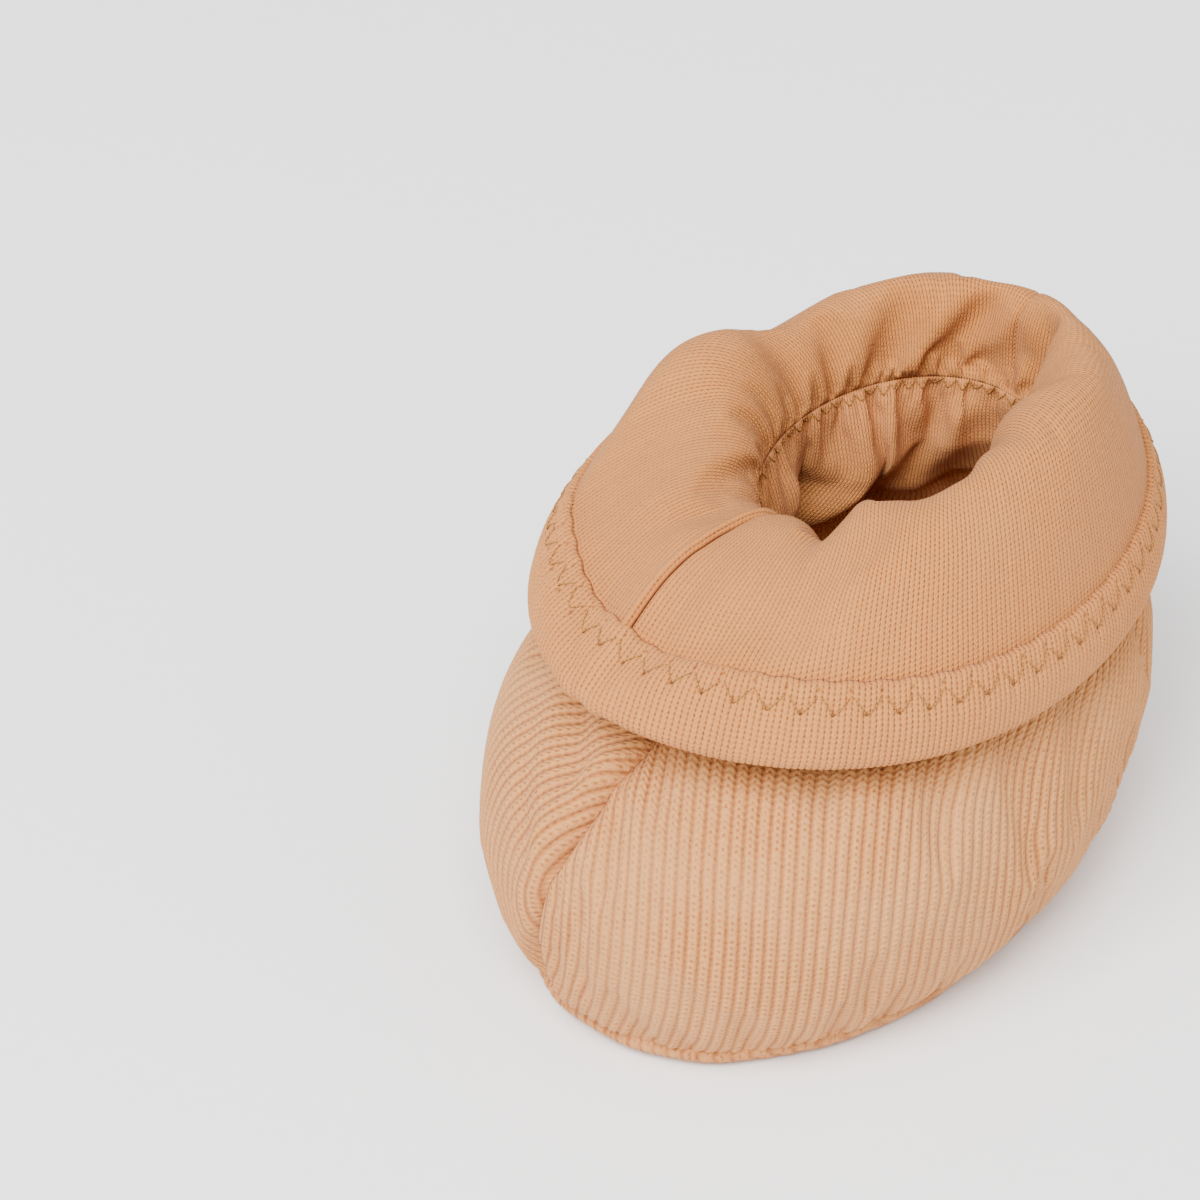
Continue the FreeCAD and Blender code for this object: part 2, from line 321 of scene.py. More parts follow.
def hold_shape(drawn, settled, limit):
    """The settled cloth with its slow swelling taken out and its movement capped."""
    moved = settled - drawn
    waves = np.fft.rfft(moved, axis=1)
    waves[:, :SLOW_WAVES] = 0
    moved = np.fft.irfft(waves, moved.shape[1], axis=1)
    size = np.linalg.norm(moved, axis=-1, keepdims=True)
    return drawn + moved * np.tanh(size / limit) * limit / np.maximum(size, 1e-9)


def grid_facing(grid):
    """Around x along at every point of a closed-round grid."""
    around = np.roll(grid, -1, axis=1) - np.roll(grid, 1, axis=1)
    return unit(np.cross(around, np.gradient(grid, axis=0)))


def from_centre(row):
    return unit((row - row.mean(0)) * [1, 1, 0])


print("folds may move the cloth by, mm:", round(FOLD_LIMIT / MM, 1))

# %% [markdown]
# ## Cut wide, drawn in, and held to the wall
# The cut sleeve is wider than the drawn one by the spare width. After it settles, folds that would sink
# through the wadding are stopped at the room the wall leaves, and the roll keeps a little less of them.

# %% The sleeve settles
lining_drawn = even_steps(foot_wall(ring_angles, 1.0), LINING_ROWS + 1)[:-1]
roll_fine = np.array([roll_skin(ring_angles, np.full(SLEEVE_COLUMNS, t)) for t in np.linspace(0, 1, 60)])
sleeve_drawn = np.concatenate([lining_drawn, even_steps(roll_fine, ROLL_ROWS)])
sleeve_rows = np.arange(LAST_ROW + 1)
up_share = np.clip((sleeve_rows / ELASTIC_ROW - 0.35) / 0.65, 0, 1)
down_share = np.clip((sleeve_rows - ELASTIC_ROW) / (ROLL_ROWS - 1), 0, 1)
spare = np.where(sleeve_rows <= ELASTIC_ROW, up_share, (1 - down_share) ** 3)
rng = np.random.default_rng(7)
uneven = sum(rng.uniform(0.4, 1) * np.sin(k * ring_angles + rng.uniform(0, TURN)) for k in range(7, 20))
uneven /= np.abs(uneven).max()
sleeve_cut = sleeve_drawn.copy()
sleeve_start = sleeve_drawn.copy()
for r in sleeve_rows:
    middle = sleeve_drawn[r].mean(0)
    sleeve_cut[r, :, :2] = middle[:2] + (sleeve_drawn[r, :, :2] - middle[:2]) * (1 + SPARE_WIDTH * spare[r])
    depth = UNEVEN * spare[r] * min(1, abs(r - ELASTIC_ROW) / 4)
    sleeve_start[r] += from_centre(sleeve_drawn[r]) * uneven[:, None] * depth
sleeve_pins = np.zeros(sleeve_drawn.shape[:2])
sleeve_pins[[*range(6), ELASTIC_ROW, LAST_ROW]] = 1
sleeve_settled = simulate_sheet("sleeve_cloth", sleeve_cut, sleeve_start, sleeve_pins, -3, 12)
folds = hold_shape(sleeve_drawn, sleeve_settled, FOLD_LIMIT) - sleeve_drawn
into_wall = grid_facing(sleeve_drawn)
sunk = (folds * into_wall).sum(-1)
room_rows = ELASTIC_ROW + np.array([-5, -2, 2, 8])
room = np.interp(sleeve_rows, room_rows, np.array([1.6, 0.8, 0.8, 3.2]) * MM)[:, None]
folds -= into_wall * np.maximum(sunk - room, 0)[..., None]
keep_rows = [ELASTIC_ROW, ELASTIC_ROW + 10, LAST_ROW]
folds *= np.interp(sleeve_rows, keep_rows, [1, 0.8, 0.6])[:, None, None]
sleeve = sleeve_drawn + folds
print("folds move the sleeve by up to, mm:", (np.abs(sleeve - sleeve_drawn).max() / MM).round(1))

# %% [markdown]
# ## Lumps and pleats that hands leave
# Turning the cuff down by hand packs its wadding unevenly. In front of the opening stand two small lumps
# with tucks between them, the wearer's left is packed full and leans over the opening, and on the right a
# full corner stands beside a slack dip. Below the elastic the lining hangs in three deep pleats that slant
# as they fall. These few broad shapes are the part's own, so they are listed one by one.

# %% Lumps over the roll and pleats in the lining
LUMPS = (
    # angle and spread in degrees, place and spread as shares down the roll, height in mm
    (2, 12, 0.20, 0.13, 1.6),
    (23, 5, 0.17, 0.15, -2.4),
    (39, 9, 0.20, 0.13, 2.0),
    (63, 8, 0.18, 0.13, -2.1),
    (104, 30, 0.24, 0.17, 4.0),
    (208, 16, 0.42, 0.20, 1.0),
    (256, 12, 0.42, 0.20, -2.3),
    (279, 13, 0.44, 0.20, 3.2),
    (105, 34, 0.92, 0.30, -1.2),
    (40, 28, 0.70, 0.16, -1.1),
    (160, 7, 0.20, 0.16, -1.5),
    (196, 8, 0.22, 0.18, -1.6),
)
PLEATS = (
    # the same, for the lining; the place is a share up from the sole
    (288, 11, 0.80, 0.16, 3.4),
    (269, 6, 0.78, 0.10, -1.0),
    (244, 17, 0.74, 0.20, 3.2),
    (217, 5, 0.78, 0.10, -1.0),
    (203, 9, 0.82, 0.18, 3.0),
    (182, 6, 0.78, 0.10, -1.0),
)
PLEAT_SLANT = 40  # degrees that a pleat would drift over the whole lining
roll_down = ((sleeve_rows - ELASTIC_ROW) / (ROLL_ROWS - 1))[:, None]
lining_up = (sleeve_rows / ELASTIC_ROW)[:, None]


def swell(bumps, place_of, slant=0):
    """Adds up soft bumps over the sleeve. A slant turns each one as it goes up."""
    total = 0
    for bearing, spread, place, width, height in bumps:
        turned = np.degrees(ring_angles)[None, :] - bearing + slant * (place_of - place)
        off = (turned + 180) % 360 - 180
        total = total + height * MM * np.exp(-(off / spread) ** 2 - ((place_of - place) / width) ** 2)
    return total


swelling = swell(LUMPS, roll_down) * np.clip(roll_down / 0.05, 0, 1)
swelling += swell(PLEATS, lining_up, PLEAT_SLANT) * np.clip((1 - lining_up) / 0.08, 0, 1)
sleeve -= into_wall * swelling[..., None]
print("lumps on the roll:", len(LUMPS), " pleats in the lining:", len(PLEATS))

# %% [markdown]
# ## The foot's outer cloth swells between its seams
# The wide rib of the foot is filled with wadding, sewn down at the sole, at the front and back seams and
# under the elastic. A second, short simulation blows it up gently between those lines. Again only the
# unevenness is kept, so the foot stays as long and as wide as the frame says.

# %% Simulate the foot
FOOT_ROWS = 40
FOOT_SPARE = 0.05
SWELL_LIMIT = 1.5 * MM
BACK = SLEEVE_COLUMNS // 2
foot_drawn = even_steps(foot_wall(ring_angles, 0.0), FOOT_ROWS)
foot_cut = foot_drawn.copy()
foot_middle = foot_drawn.mean(1, keepdims=True)
foot_cut[..., :2] = foot_middle[..., :2] + (foot_drawn[..., :2] - foot_middle[..., :2]) * (1 + FOOT_SPARE)
foot_pins = np.zeros(foot_drawn.shape[:2])
foot_pins[:2] = 1
foot_pins[-9:] = 1
foot_pins[:, [0, BACK]] = 1
foot_settled = simulate_sheet("foot_cloth", foot_cut, foot_drawn, foot_pins, 2, 4)
foot_out = grid_facing(foot_drawn)
foot_moved = hold_shape(foot_drawn, foot_settled, SWELL_LIMIT) - foot_drawn
foot = foot_drawn + foot_out * (foot_moved * foot_out).sum(-1, keepdims=True)
print("the foot's cloth moves by up to, mm:", (np.abs(foot - foot_drawn).max() / MM).round(1))

# %% [markdown]
# ## Reading a cloth between its threads
# The simulated grids are coarse, about a millimetre and a half between points. Each becomes a Skin that can
# be read anywhere, with the same smooth curve that animators use between key frames, and that gives the
# direction the cloth faces. A finished piece then asks its skin for as fine a grid as it needs.

# %% A skin that can be read anywhere
class Skin:
    """A closed-round grid of points, read smoothly at any row and column."""

    def __init__(self, grid):
        self.grid = grid
        self.rows, self.columns = grid.shape[:2]

    @staticmethod
    def shares(f):
        """Catmull-Rom weights of four neighbours, at f between the middle two."""
        return (
            -0.5 * f + f ** 2 - 0.5 * f ** 3,
            1 - 2.5 * f ** 2 + 1.5 * f ** 3,
            0.5 * f + 2 * f ** 2 - 1.5 * f ** 3,
            -0.5 * f ** 2 + 0.5 * f ** 3,
        )

    def at(self, row, angle):
        row, column = np.broadcast_arrays(np.clip(row, 0, self.rows - 1), angle / TURN * self.columns)
        r, c = np.floor(row).astype(int), np.floor(column).astype(int)
        total = 0
        for i, down in enumerate(self.shares(row - r)):
            for j, across in enumerate(self.shares(column - c)):
                at_row = np.clip(r + i - 1, 0, self.rows - 1)
                point = self.grid[at_row, (c + j - 1) % self.columns]
                total = total + point * (down * across)[..., None]
        return total

    def along(self, row, angle):
        return unit(self.at(row + 0.3, angle) - self.at(row - 0.3, angle))

    def facing(self, row, angle):
        """Across the cloth: out of the foot's skin, and into the wadding of the sleeve's."""
        step = 0.3 * TURN / self.columns
        around = self.at(row, angle + step) - self.at(row, angle - step)
        return unit(np.cross(around, self.along(row, angle)))


sleeve_skin = Skin(sleeve)
foot_skin_sewn = Skin(foot)
foot_skin_smooth = Skin(foot_drawn)
print("skins:", sleeve_skin.grid.shape, foot_skin_sewn.grid.shape)

# %% [markdown]
# ## A cloth piece is a thin closed shell
# Real cloth has two sides and cut edges. Each piece is two grids of points, the face and the back, joined
# along all four edges. Its UV map is in metres of cloth, across and along the wales, so a knit pattern
# keeps its true gauge wherever the piece bends.

# %% Shells
def face_and_back(rows, columns):
    """Faces of a closed shell of two open grids, the face first; its face looks along around x along."""
    sheet = grid_faces(rows, columns, False)
    back = sheet[:, ::-1] + rows * columns
    r, c = np.arange(rows - 1), np.arange(columns - 1)
    low, high = c, (rows - 1) * columns + c
    first, last = r * columns, r * columns + columns - 1
    n = rows * columns
    rims = [
        np.stack([low + 1, low, low + n, low + 1 + n], -1),
        np.stack([high, high + 1, high + 1 + n, high + n], -1),
        np.stack([first, first + columns, first + columns + n, first + n], -1),
        np.stack([last + columns, last, last + n, last + columns + n], -1),
    ]
    return np.concatenate([sheet, back, *rims])


def cloth_shell(name, face, back, across, along, looks_in=False, fade=1.0):
    """A closed shell between two grids. across and along are the cloth's own metres at each point."""
    rows, columns = face.shape[:2]
    faces = face_and_back(rows, columns)
    if looks_in:
        faces = faces[:, ::-1]
    obj = mesh_object(name, np.concatenate([face, back]), faces)
    mesh = obj.data
    across = np.broadcast_to(across, (rows, columns))
    along = np.broadcast_to(along, (rows, columns))
    flat_map = np.stack([across, along], -1).reshape(-1, 2)
    corners = np.empty(len(mesh.loops), np.int32)
    mesh.loops.foreach_get("vertex_index", corners)
    uv = mesh.uv_layers.new(name="cloth")
    uv.data.foreach_set("uv", flat_map[corners % len(flat_map)].astype(np.float32).ravel())
    ridge = np.concatenate([across.ravel(), across.ravel()])
    store_floats(mesh, "across", ridge)
    shown = np.broadcast_to(fade, (rows, columns)).ravel()
    store_floats(mesh, "relief", np.concatenate([shown, np.zeros(rows * columns)]))
    return obj


print("a shell of 3 by 3 points has", len(face_and_back(3, 3)), "faces")

# %% [markdown]
# ## Small tools for meshes
# Attributes carry a piece's own measures to its nodes: how far across the cloth a point lies, how much of
# the ribs' relief it shows, and which way a stitch swings there.

# %% Attributes, doubles and smooth shading
def store_floats(mesh, name, values):
    attribute = mesh.attributes.new(name, "FLOAT", "POINT")
    attribute.data.foreach_set("value", values.astype(np.float32))


def store_vectors(mesh, name, values):
    attribute = mesh.attributes.new(name, "FLOAT_VECTOR", "POINT")
    attribute.data.foreach_set("vector", values.astype(np.float32).ravel())


def merge_doubles(obj, gap=0.01 * MM):
    bm = bmesh.new()
    bm.from_mesh(obj.data)
    bmesh.ops.remove_doubles(bm, verts=bm.verts, dist=gap)
    bmesh.ops.dissolve_degenerate(bm, edges=bm.edges, dist=gap / 10)
    bm.to_mesh(obj.data)
    bm.free()


def smooth_shade(obj):
    obj.data.polygons.foreach_set("use_smooth", np.ones(len(obj.data.polygons), bool))
    return obj


# %% [markdown]
# ## Nodes written as sums
# Shaders and Geometry Nodes are both graphs of small nodes. A Wire holds one socket and answers to + - * /
# by adding the matching Math node, so a pattern reads like the formula it is.

# %% Wires and nodes
class Wire:
    """An output socket that grows Math nodes when it is used in a sum."""

    def __init__(self, graph, socket):
        self.graph = graph
        self.socket = socket

    def math(self, operation, *others):
        return self.graph.math(operation, self, *others)

    def __add__(self, other):
        return self.math("ADD", other)

    def __sub__(self, other):
        return self.math("SUBTRACT", other)

    def __rsub__(self, other):
        return self.graph.math("SUBTRACT", other, self)

    def __mul__(self, other):
        return self.math("MULTIPLY", other)

    def __truediv__(self, other):
        return self.math("DIVIDE", other)

    def __pow__(self, other):
        return self.math("POWER", other)

    __radd__ = __add__
    __rmul__ = __mul__

    def fract(self):
        return self.math("FRACT")

    def floor(self):
        return self.math("FLOOR")

    def size(self):
        return self.math("ABSOLUTE")

    def cos(self):
        return self.math("COSINE")

    def smooth(self, low, high):
        """0 below low, 1 above high, and smooth between."""
        settings = {"interpolation_type": "SMOOTHSTEP"}
        return self.graph.add("ShaderNodeMapRange", settings, {0: self, 1: low, 2: high})[0]


print("a wire answers to:", [n for n in dir(Wire) if n in ("__add__", "__sub__", "__mul__", "__truediv__")])

# %% [markdown]
# ## A graph that writes its own nodes
# Every node that isn't a sum comes from one method, so the links and the settings are always made in the
# same order. Colours go through its mix, because a Math node would turn them grey.

# %% Graphs
class Made:
    """A node that was added; made["Name"] or made[0] is one of its outputs as a Wire."""

    def __init__(self, graph, node):
        self.graph = graph
        self.node = node

    def __getitem__(self, key):
        return Wire(self.graph, self.node.outputs[key])


class Graph:
    """A node tree being written."""

    def __init__(self, tree):
        self.tree = tree

    def math(self, operation, *values):
        return self.add("ShaderNodeMath", {"operation": operation}, dict(enumerate(values)))[0]

    def add(self, kind, settings=None, sockets=None):
        node = self.tree.nodes.new(kind)
        for key, value in (settings or {}).items():
            setattr(node, key, value)
        for key, value in (sockets or {}).items():
            if isinstance(value, Wire):
                self.tree.links.new(value.socket, node.inputs[key])
            else:
                node.inputs[key].default_value = value
        return Made(self, node)

    def noise(self, place, scale, detail):
        return self.add("ShaderNodeTexNoise", None, {"Vector": place, "Scale": scale, "Detail": detail})[0]

    def mix(self, share, a, b, blend="MIX"):
        """Mixes two colours by a share."""
        settings = {"data_type": "RGBA", "blend_type": blend, "clamp_factor": True}
        return self.add("ShaderNodeMix", settings, {0: share, 6: a, 7: b})[2]


print("a graph can:", [n for n in dir(Graph) if n[0] != "_"])

# %% [markdown]
# ## Two Geometry Nodes trees
# A rib knit is one ridge repeated, so the ribs of the foot are pushed out of a smooth cloth by a tree: it
# reads how far across the cloth each point lies and moves it along its normal. Stitches follow a line, so
# the second tree takes a sewing line, walks it in even steps, swings every step to one side or the other
# for a zigzag, and lays a round thread along it.

# %% Tools for trees
def new_tree(name, inputs):
    """An empty Geometry Nodes tree with a Geometry input and output and the named inputs."""
    tree = bpy.data.node_groups.new(name, "GeometryNodeTree")
    tree.interface.new_socket("Geometry", in_out="OUTPUT", socket_type="NodeSocketGeometry")
    tree.interface.new_socket("Geometry", in_out="INPUT", socket_type="NodeSocketGeometry")
    for label, kind in inputs.items():
        tree.interface.new_socket(label, in_out="INPUT", socket_type="NodeSocket" + kind)
    graph = Graph(tree)
    return graph, graph.add("NodeGroupInput")


def end_tree(graph, given, geometry):
    solid = graph.add("GeometryNodeRealizeInstances", None, {0: geometry})
    coated = graph.add("GeometryNodeSetMaterial", None, {0: solid[0], "Material": given["Material"]})
    graph.add("NodeGroupOutput", None, {0: coated[0]})
    return graph.tree


def named(graph, name, kind="FLOAT"):
    return graph.add("GeometryNodeInputNamedAttribute", {"data_type": kind}, {"Name": name})[0]


def scaled(graph, vector, share):
    made = graph.add("ShaderNodeVectorMath", {"operation": "SCALE"}, {0: vector, "Scale": share})
    return made[0]


print("shared tree tools are ready")

# %% [markdown]
# ## Ribs
# A knit rib is round on top and falls away steeply into its groove, which a cosine's size, raised to a
# power under one, gives. The lift follows the cloth's own normal, so the ribs bend with it.

# %% The rib tree
def rib_tree():
    graph, given = new_tree("Ribs", {"Pitch": "Float", "Height": "Float", "Material": "Material"})
    turn = named(graph, "across") / given["Pitch"]
    ridge = (turn * math.pi).cos().size() ** 0.7
    lift = (ridge - 0.6) * given["Height"] * named(graph, "relief")
    moved = graph.add(
        "GeometryNodeSetPosition", None,
        {0: given["Geometry"], "Offset": scaled(graph, graph.add("GeometryNodeInputNormal")[0], lift)},
    )
    return end_tree(graph, given, moved[0])


RIB_TREE = rib_tree()
print("tree:", RIB_TREE.name, "with", len(RIB_TREE.nodes), "nodes")

# %% [markdown]
# ## Stitches
# A zigzag is a triangle wave along a line. At its points the thread dives into the cloth, so the wave's
# size also pushes the thread down there, and both the length laid and the depth sunk are kept for the
# thread's material, which paints shade where the thread has sunk.

# %% The stitch tree
def stitch_tree():
    sizes = {"Points": "Int", "Steps": "Int", "Width": "Float", "Dip": "Float", "Thread": "Float"}
    graph, given = new_tree("Stitches", {**sizes, "Material": "Material"})
    line = graph.add("GeometryNodeMeshToCurve", None, {0: given["Geometry"]})
    even = {0: line[0], "Count": given["Points"]}
    walked = graph.add("GeometryNodeResampleCurve", {"mode": "COUNT"}, even)
    step = graph.add("GeometryNodeInputIndex")[0] / given["Steps"]
    swing = (step.fract() * 2 - 1).size() * 2 - 1
    side = scaled(graph, named(graph, "side", "FLOAT_VECTOR"), swing * given["Width"] / 2)
    depth = scaled(graph, named(graph, "out", "FLOAT_VECTOR"), given["Dip"] * swing.size() ** 5 * -1)
    both = graph.add("ShaderNodeVectorMath", {"operation": "ADD"}, {0: side, 1: depth})
    swung = graph.add("GeometryNodeSetPosition", None, {0: walked[0], "Offset": both[0]})
    length = graph.add("GeometryNodeSplineParameter")["Length"]
    kept = {"data_type": "FLOAT", "domain": "POINT"}
    marked = swung
    # sunk marks the zigzag's points, where the thread's material paints shade.
    for label, value in (("laid", length), ("sunk", swing.size() ** 5)):
        told = {0: marked[0], "Name": label, "Value": value}
        marked = graph.add("GeometryNodeStoreNamedAttribute", kept, told)
    round_thread = {"Resolution": 7, "Radius": given["Thread"]}
    section = graph.add("GeometryNodeCurvePrimitiveCircle", None, round_thread)
    tube = graph.add("GeometryNodeCurveToMesh", None, {0: marked[0], 1: section[0], "Fill Caps": True})
    soft = graph.add("GeometryNodeSetShadeSmooth", None, {0: tube[0]})
    return end_tree(graph, given, soft[0])


STITCH_TREE = stitch_tree()


def grow(obj, tree, **inputs):
    """Runs a tree on an object and keeps the result as its plain mesh."""
    modifier = obj.modifiers.new(tree.name, "NODES")
    modifier.node_group = tree
    for item in tree.interface.items_tree:
        if item.in_out == "INPUT" and item.name in inputs:
            modifier[item.identifier] = inputs[item.name]
    dg = bpy.context.evaluated_depsgraph_get()
    grown = bpy.data.meshes.new_from_object(obj.evaluated_get(dg))
    obj.modifiers.clear()
    obj.data = grown
    return obj


print("trees:", [t.name for t in (RIB_TREE, STITCH_TREE)])

# %% [markdown]
# ## Gauge
# The gauge of a knit is how many loops it has to the centimetre. The foot's rib is coarse. The fine rib has
# a fixed number of wales round the hem, so its pitch is the hem's length over that number.

# %% Gauges
RIB_PITCH = 1.8 * MM
RIB_COURSE = 0.86 * MM
FINE_WALES = 318  # counted round the hem
FINE_COURSE = 0.72 * MM
hem_angles = np.linspace(-TURN, 2 * TURN, 6001)
hem_walk = np.concatenate([[0], np.cumsum(np.linalg.norm(np.diff(HEM.at(hem_angles), axis=0), axis=1))])
HEM_LENGTH = hem_walk[-1] / 3
hem_walk -= HEM_LENGTH
FINE_PITCH = HEM_LENGTH / FINE_WALES
print("wales round the hem:", FINE_WALES, "each, mm:", round(FINE_PITCH / MM, 3))

# %% [markdown]
# ## Knit, as a material
# A knit fabric is columns of loops, called wales, and rows of them, called courses. Each loop shows two
# legs that lean together like a V, with a small gap on either side. The shader draws that from the cloth's
# own metres: a ridge across each wale, legs along it, and gaps between, with painted shade in the grooves,
# the gaps and the loops' eyes. Fibre noise breaks it up, and a slow noise gives the patches where the dye
# and the pile lie differently. The brushed cotton catches light along its edges, which a constant sheen on
# the shader gives.

# %% Colours and the knit material
def dye(red, green, blue):
    """A linear colour from the 0 to 255 values that a colour picker shows."""
    light = [((v / 255 + 0.055) / 1.055) ** 2.4 for v in (red, green, blue)]
    return (*light, 1.0)


def knit(name, wale, course, face, groove_shade_and_tone, gap, ridge=0.6, bump=0.12, sheen=0.07, patch=None, flat=False,
         shade_in_dimples=False, wide=False):
    """A knit cloth. wale and course are the loop's width and height in metres; the groove and gap colours
    are painted shade in the grooves and holes. A flat knit lies level, one with shade in its dimples gets
    painted shade where its stitches sink, and a wide one shows purl grooves and the loops' eyes, partly as
    painted shade."""
    material = bpy.data.materials.new(name)
    material.use_nodes = True
    material.node_tree.nodes.clear()
    g = Graph(material.node_tree)
    place = g.add("ShaderNodeTexCoord")["Object"]
    weave = place if flat else g.add("ShaderNodeUVMap", {"uv_map": "cloth"})[0]
    cloth = g.add("ShaderNodeSeparateXYZ", None, {0: weave})
    wander = g.noise(place, 170.0, 2.0) - 0.5
    across = cloth["X"] / wale + 0.5 + wander * 0.14
    side = (across.fract() - 0.5).size() * 2
    own = g.add("ShaderNodeTexWhiteNoise", {"noise_dimensions": "1D"}, {"W": across.floor()})["Value"]
    step = cloth["Y"] / course + side * 0.5 + wander * 0.5 + own * 0.2
    leg = (step * TURN).cos() * 0.5 + 0.5
    fuzz = g.noise(place, 1300.0, 4.0)
    uneven_loop = fuzz.smooth(0.32, 0.62)
    round_wale = 1 - side ** 2.6
    between = side.smooth(0.66, 1.0)
    hole = between * (1 - leg) ** 1.8 * uneven_loop * (0.7 if wide else 1.0)
    eye = 0.42 if wide else 0.26
    notch = (1 - side.smooth(0.0, eye)) * (1 - leg) ** (1.5 if wide else 2.4) * uneven_loop
    height = round_wale * ridge + leg * (1 - ridge) - notch * 0.25 - hole * 0.35
    fibre = g.noise(place, 3600.0, 3.0)
    worn = g.noise(place, 48.0, 4.0)
    # Painted shade: the low parts between ribs and legs take the darker groove colour.
    tone = g.mix(height.smooth(0.0, 0.75), groove_shade_and_tone, face)
    if wide:
        # Painted shade in the purl grooves and in the loops' eyes.
        tone = g.mix(side.smooth(0.45, 0.85) * (0.3 + fuzz * 0.8), tone, groove_shade_and_tone)
        tone = g.mix((notch * 2.2).smooth(0.1, 0.9) * 0.9, tone, groove_shade_and_tone)
    # Painted shade in the holes between the loops and in their eyes, with the gap colour.
    tone = g.mix((hole + notch * 0.6).smooth(0.2, 0.95) * 0.75, tone, gap)
    tone = g.mix(worn.smooth(0.4, 0.7) * 0.5, tone, patch or face)
    tone = g.mix(fibre.smooth(0.3, 0.75) * 0.35, tone, (1, 0.9, 0.8, 1), "SOFT_LIGHT")
    tone = g.mix((own - 0.5).size() * 0.22, tone, groove_shade_and_tone)
    # Painted shade in the dimples that the zigzag's points pull into the binding.
    if shade_in_dimples:
        pull = g.add("ShaderNodeAttribute", {"attribute_name": "pull"})["Fac"]
        tone = g.mix(pull.smooth(0.45, 0.95) * 0.75, tone, gap)
    raised = height + (fuzz - 0.5) * 0.6 + (fibre - 0.5) * 0.45
    bent = g.add("ShaderNodeBump", None, {"Strength": 1.0, "Distance": bump * MM, "Height": raised})
    shader = g.add(
        "ShaderNodeBsdfPrincipled", None,
        {"Base Color": tone, "Roughness": 0.78 + fibre * 0.16, "Normal": bent[0],
         "Specular IOR Level": 0.2, "Sheen Weight": sheen, "Sheen Roughness": 0.45,
         "Sheen Tint": (1.0, 0.9, 0.82, 1.0)},
    )
    g.add("ShaderNodeOutputMaterial", None, {0: shader[0]})
    return material


print("white comes out as", dye(255, 255, 255))

# %% [markdown]
# ## Six knits from one recipe
# All the cloth is one dye lot, so the knits differ only in gauge and in how worn, lit or flat they lie: the
# wide rib is palest, and the binding has painted shade where its stitches pull it in.

# %% The knits
# The second and third colours of each knit are painted shade for its grooves and for its holes and eyes.
WIDE_RIB = knit("wide_rib_knit", RIB_PITCH, RIB_COURSE, dye(192, 132, 77), dye(162, 99, 50),
                dye(116, 66, 28), ridge=0.7, bump=0.3, patch=dye(192, 138, 88), wide=True)
SOLE_RIB = knit("sole_rib_knit", RIB_PITCH, RIB_COURSE, dye(190, 129, 77), dye(164, 100, 52),
                dye(116, 66, 28), ridge=0.7, bump=0.26, patch=dye(188, 134, 84), flat=True, wide=True)
FINE_RIB = knit("fine_rib_knit", FINE_PITCH, FINE_COURSE, dye(181, 115, 57), dye(148, 82, 33),
                dye(104, 51, 17), ridge=0.68, bump=0.2, patch=dye(180, 119, 64))
INNER_RIB = knit("lining_knit", FINE_PITCH, FINE_COURSE, dye(190, 124, 70), dye(164, 96, 48),
                 dye(116, 60, 24), ridge=0.68, bump=0.17, patch=dye(186, 120, 64))
# The binding's knit paints shade into its stitch dimples.
BAND_RIB = knit("band_knit", FINE_PITCH, FINE_COURSE, dye(183, 118, 61), dye(150, 85, 36),
                dye(102, 51, 17), ridge=0.68, bump=0.2, patch=dye(181, 122, 67), shade_in_dimples=True)
INSOLE_KNIT = knit("insole_knit", 0.9 * MM, 0.8 * MM, dye(178, 108, 56), dye(152, 84, 38),
                   dye(106, 52, 20), ridge=0.68, bump=0.17, flat=True)
print("knits:", [m.name for m in (WIDE_RIB, SOLE_RIB, FINE_RIB, INNER_RIB, BAND_RIB, INSOLE_KNIT)])

# %% [markdown]
# ## Thread, wadding and elastic
# Sewing thread is two plies twisted together, so its shader runs stripes along the length that the stitch
# tree stored, and paints shade where the thread has sunk into the cloth. Wadding is a white polyester
# fleece. The elastic is braided, and it shows only when the cuff is opened up, but it is still a finished
# piece.

# %% The other three materials
def cotton(graph, colour, rough, bump_height, bump, sheen=0.2):
    """Joins a colour, a roughness and a height into a fibre's shader."""
    relief = {"Strength": 0.8, "Distance": bump * MM, "Height": bump_height}
    bent = graph.add("ShaderNodeBump", None, relief)
    shader = graph.add(
        "ShaderNodeBsdfPrincipled", None,
        {"Base Color": colour, "Roughness": rough, "Normal": bent[0], "Specular IOR Level": 0.3,
         "Sheen Weight": sheen, "Sheen Roughness": 0.5},
    )
    graph.add("ShaderNodeOutputMaterial", None, {0: shader[0]})


def blank(name):
    material = bpy.data.materials.new(name)
    material.use_nodes = True
    material.node_tree.nodes.clear()
    return material, Graph(material.node_tree)


def thread_material():
    material, g = blank("two_ply_thread")
    laid = g.add("ShaderNodeAttribute", {"attribute_name": "laid"})["Fac"]
    place = g.add("ShaderNodeTexCoord")["Object"]
    fuzz = g.noise(place, 3000.0, 2.0)
    ply = ((laid / (0.55 * MM) + fuzz * 0.3) * TURN).cos() * 0.5 + 0.5
    tone = g.mix(ply.smooth(0.1, 0.8), dye(128, 82, 34), dye(160, 110, 52))
    # Painted shade where the thread dives into the cloth at the zigzag's points.
    sunk = g.add("ShaderNodeAttribute", {"attribute_name": "sunk"})["Fac"]
    tone = g.mix(sunk.smooth(0.2, 0.9) * 0.9, tone, dye(64, 36, 12))
    cotton(g, tone, 0.6 + fuzz * 0.2, ply + fuzz * 0.3, 0.06, 0.0)
    return material


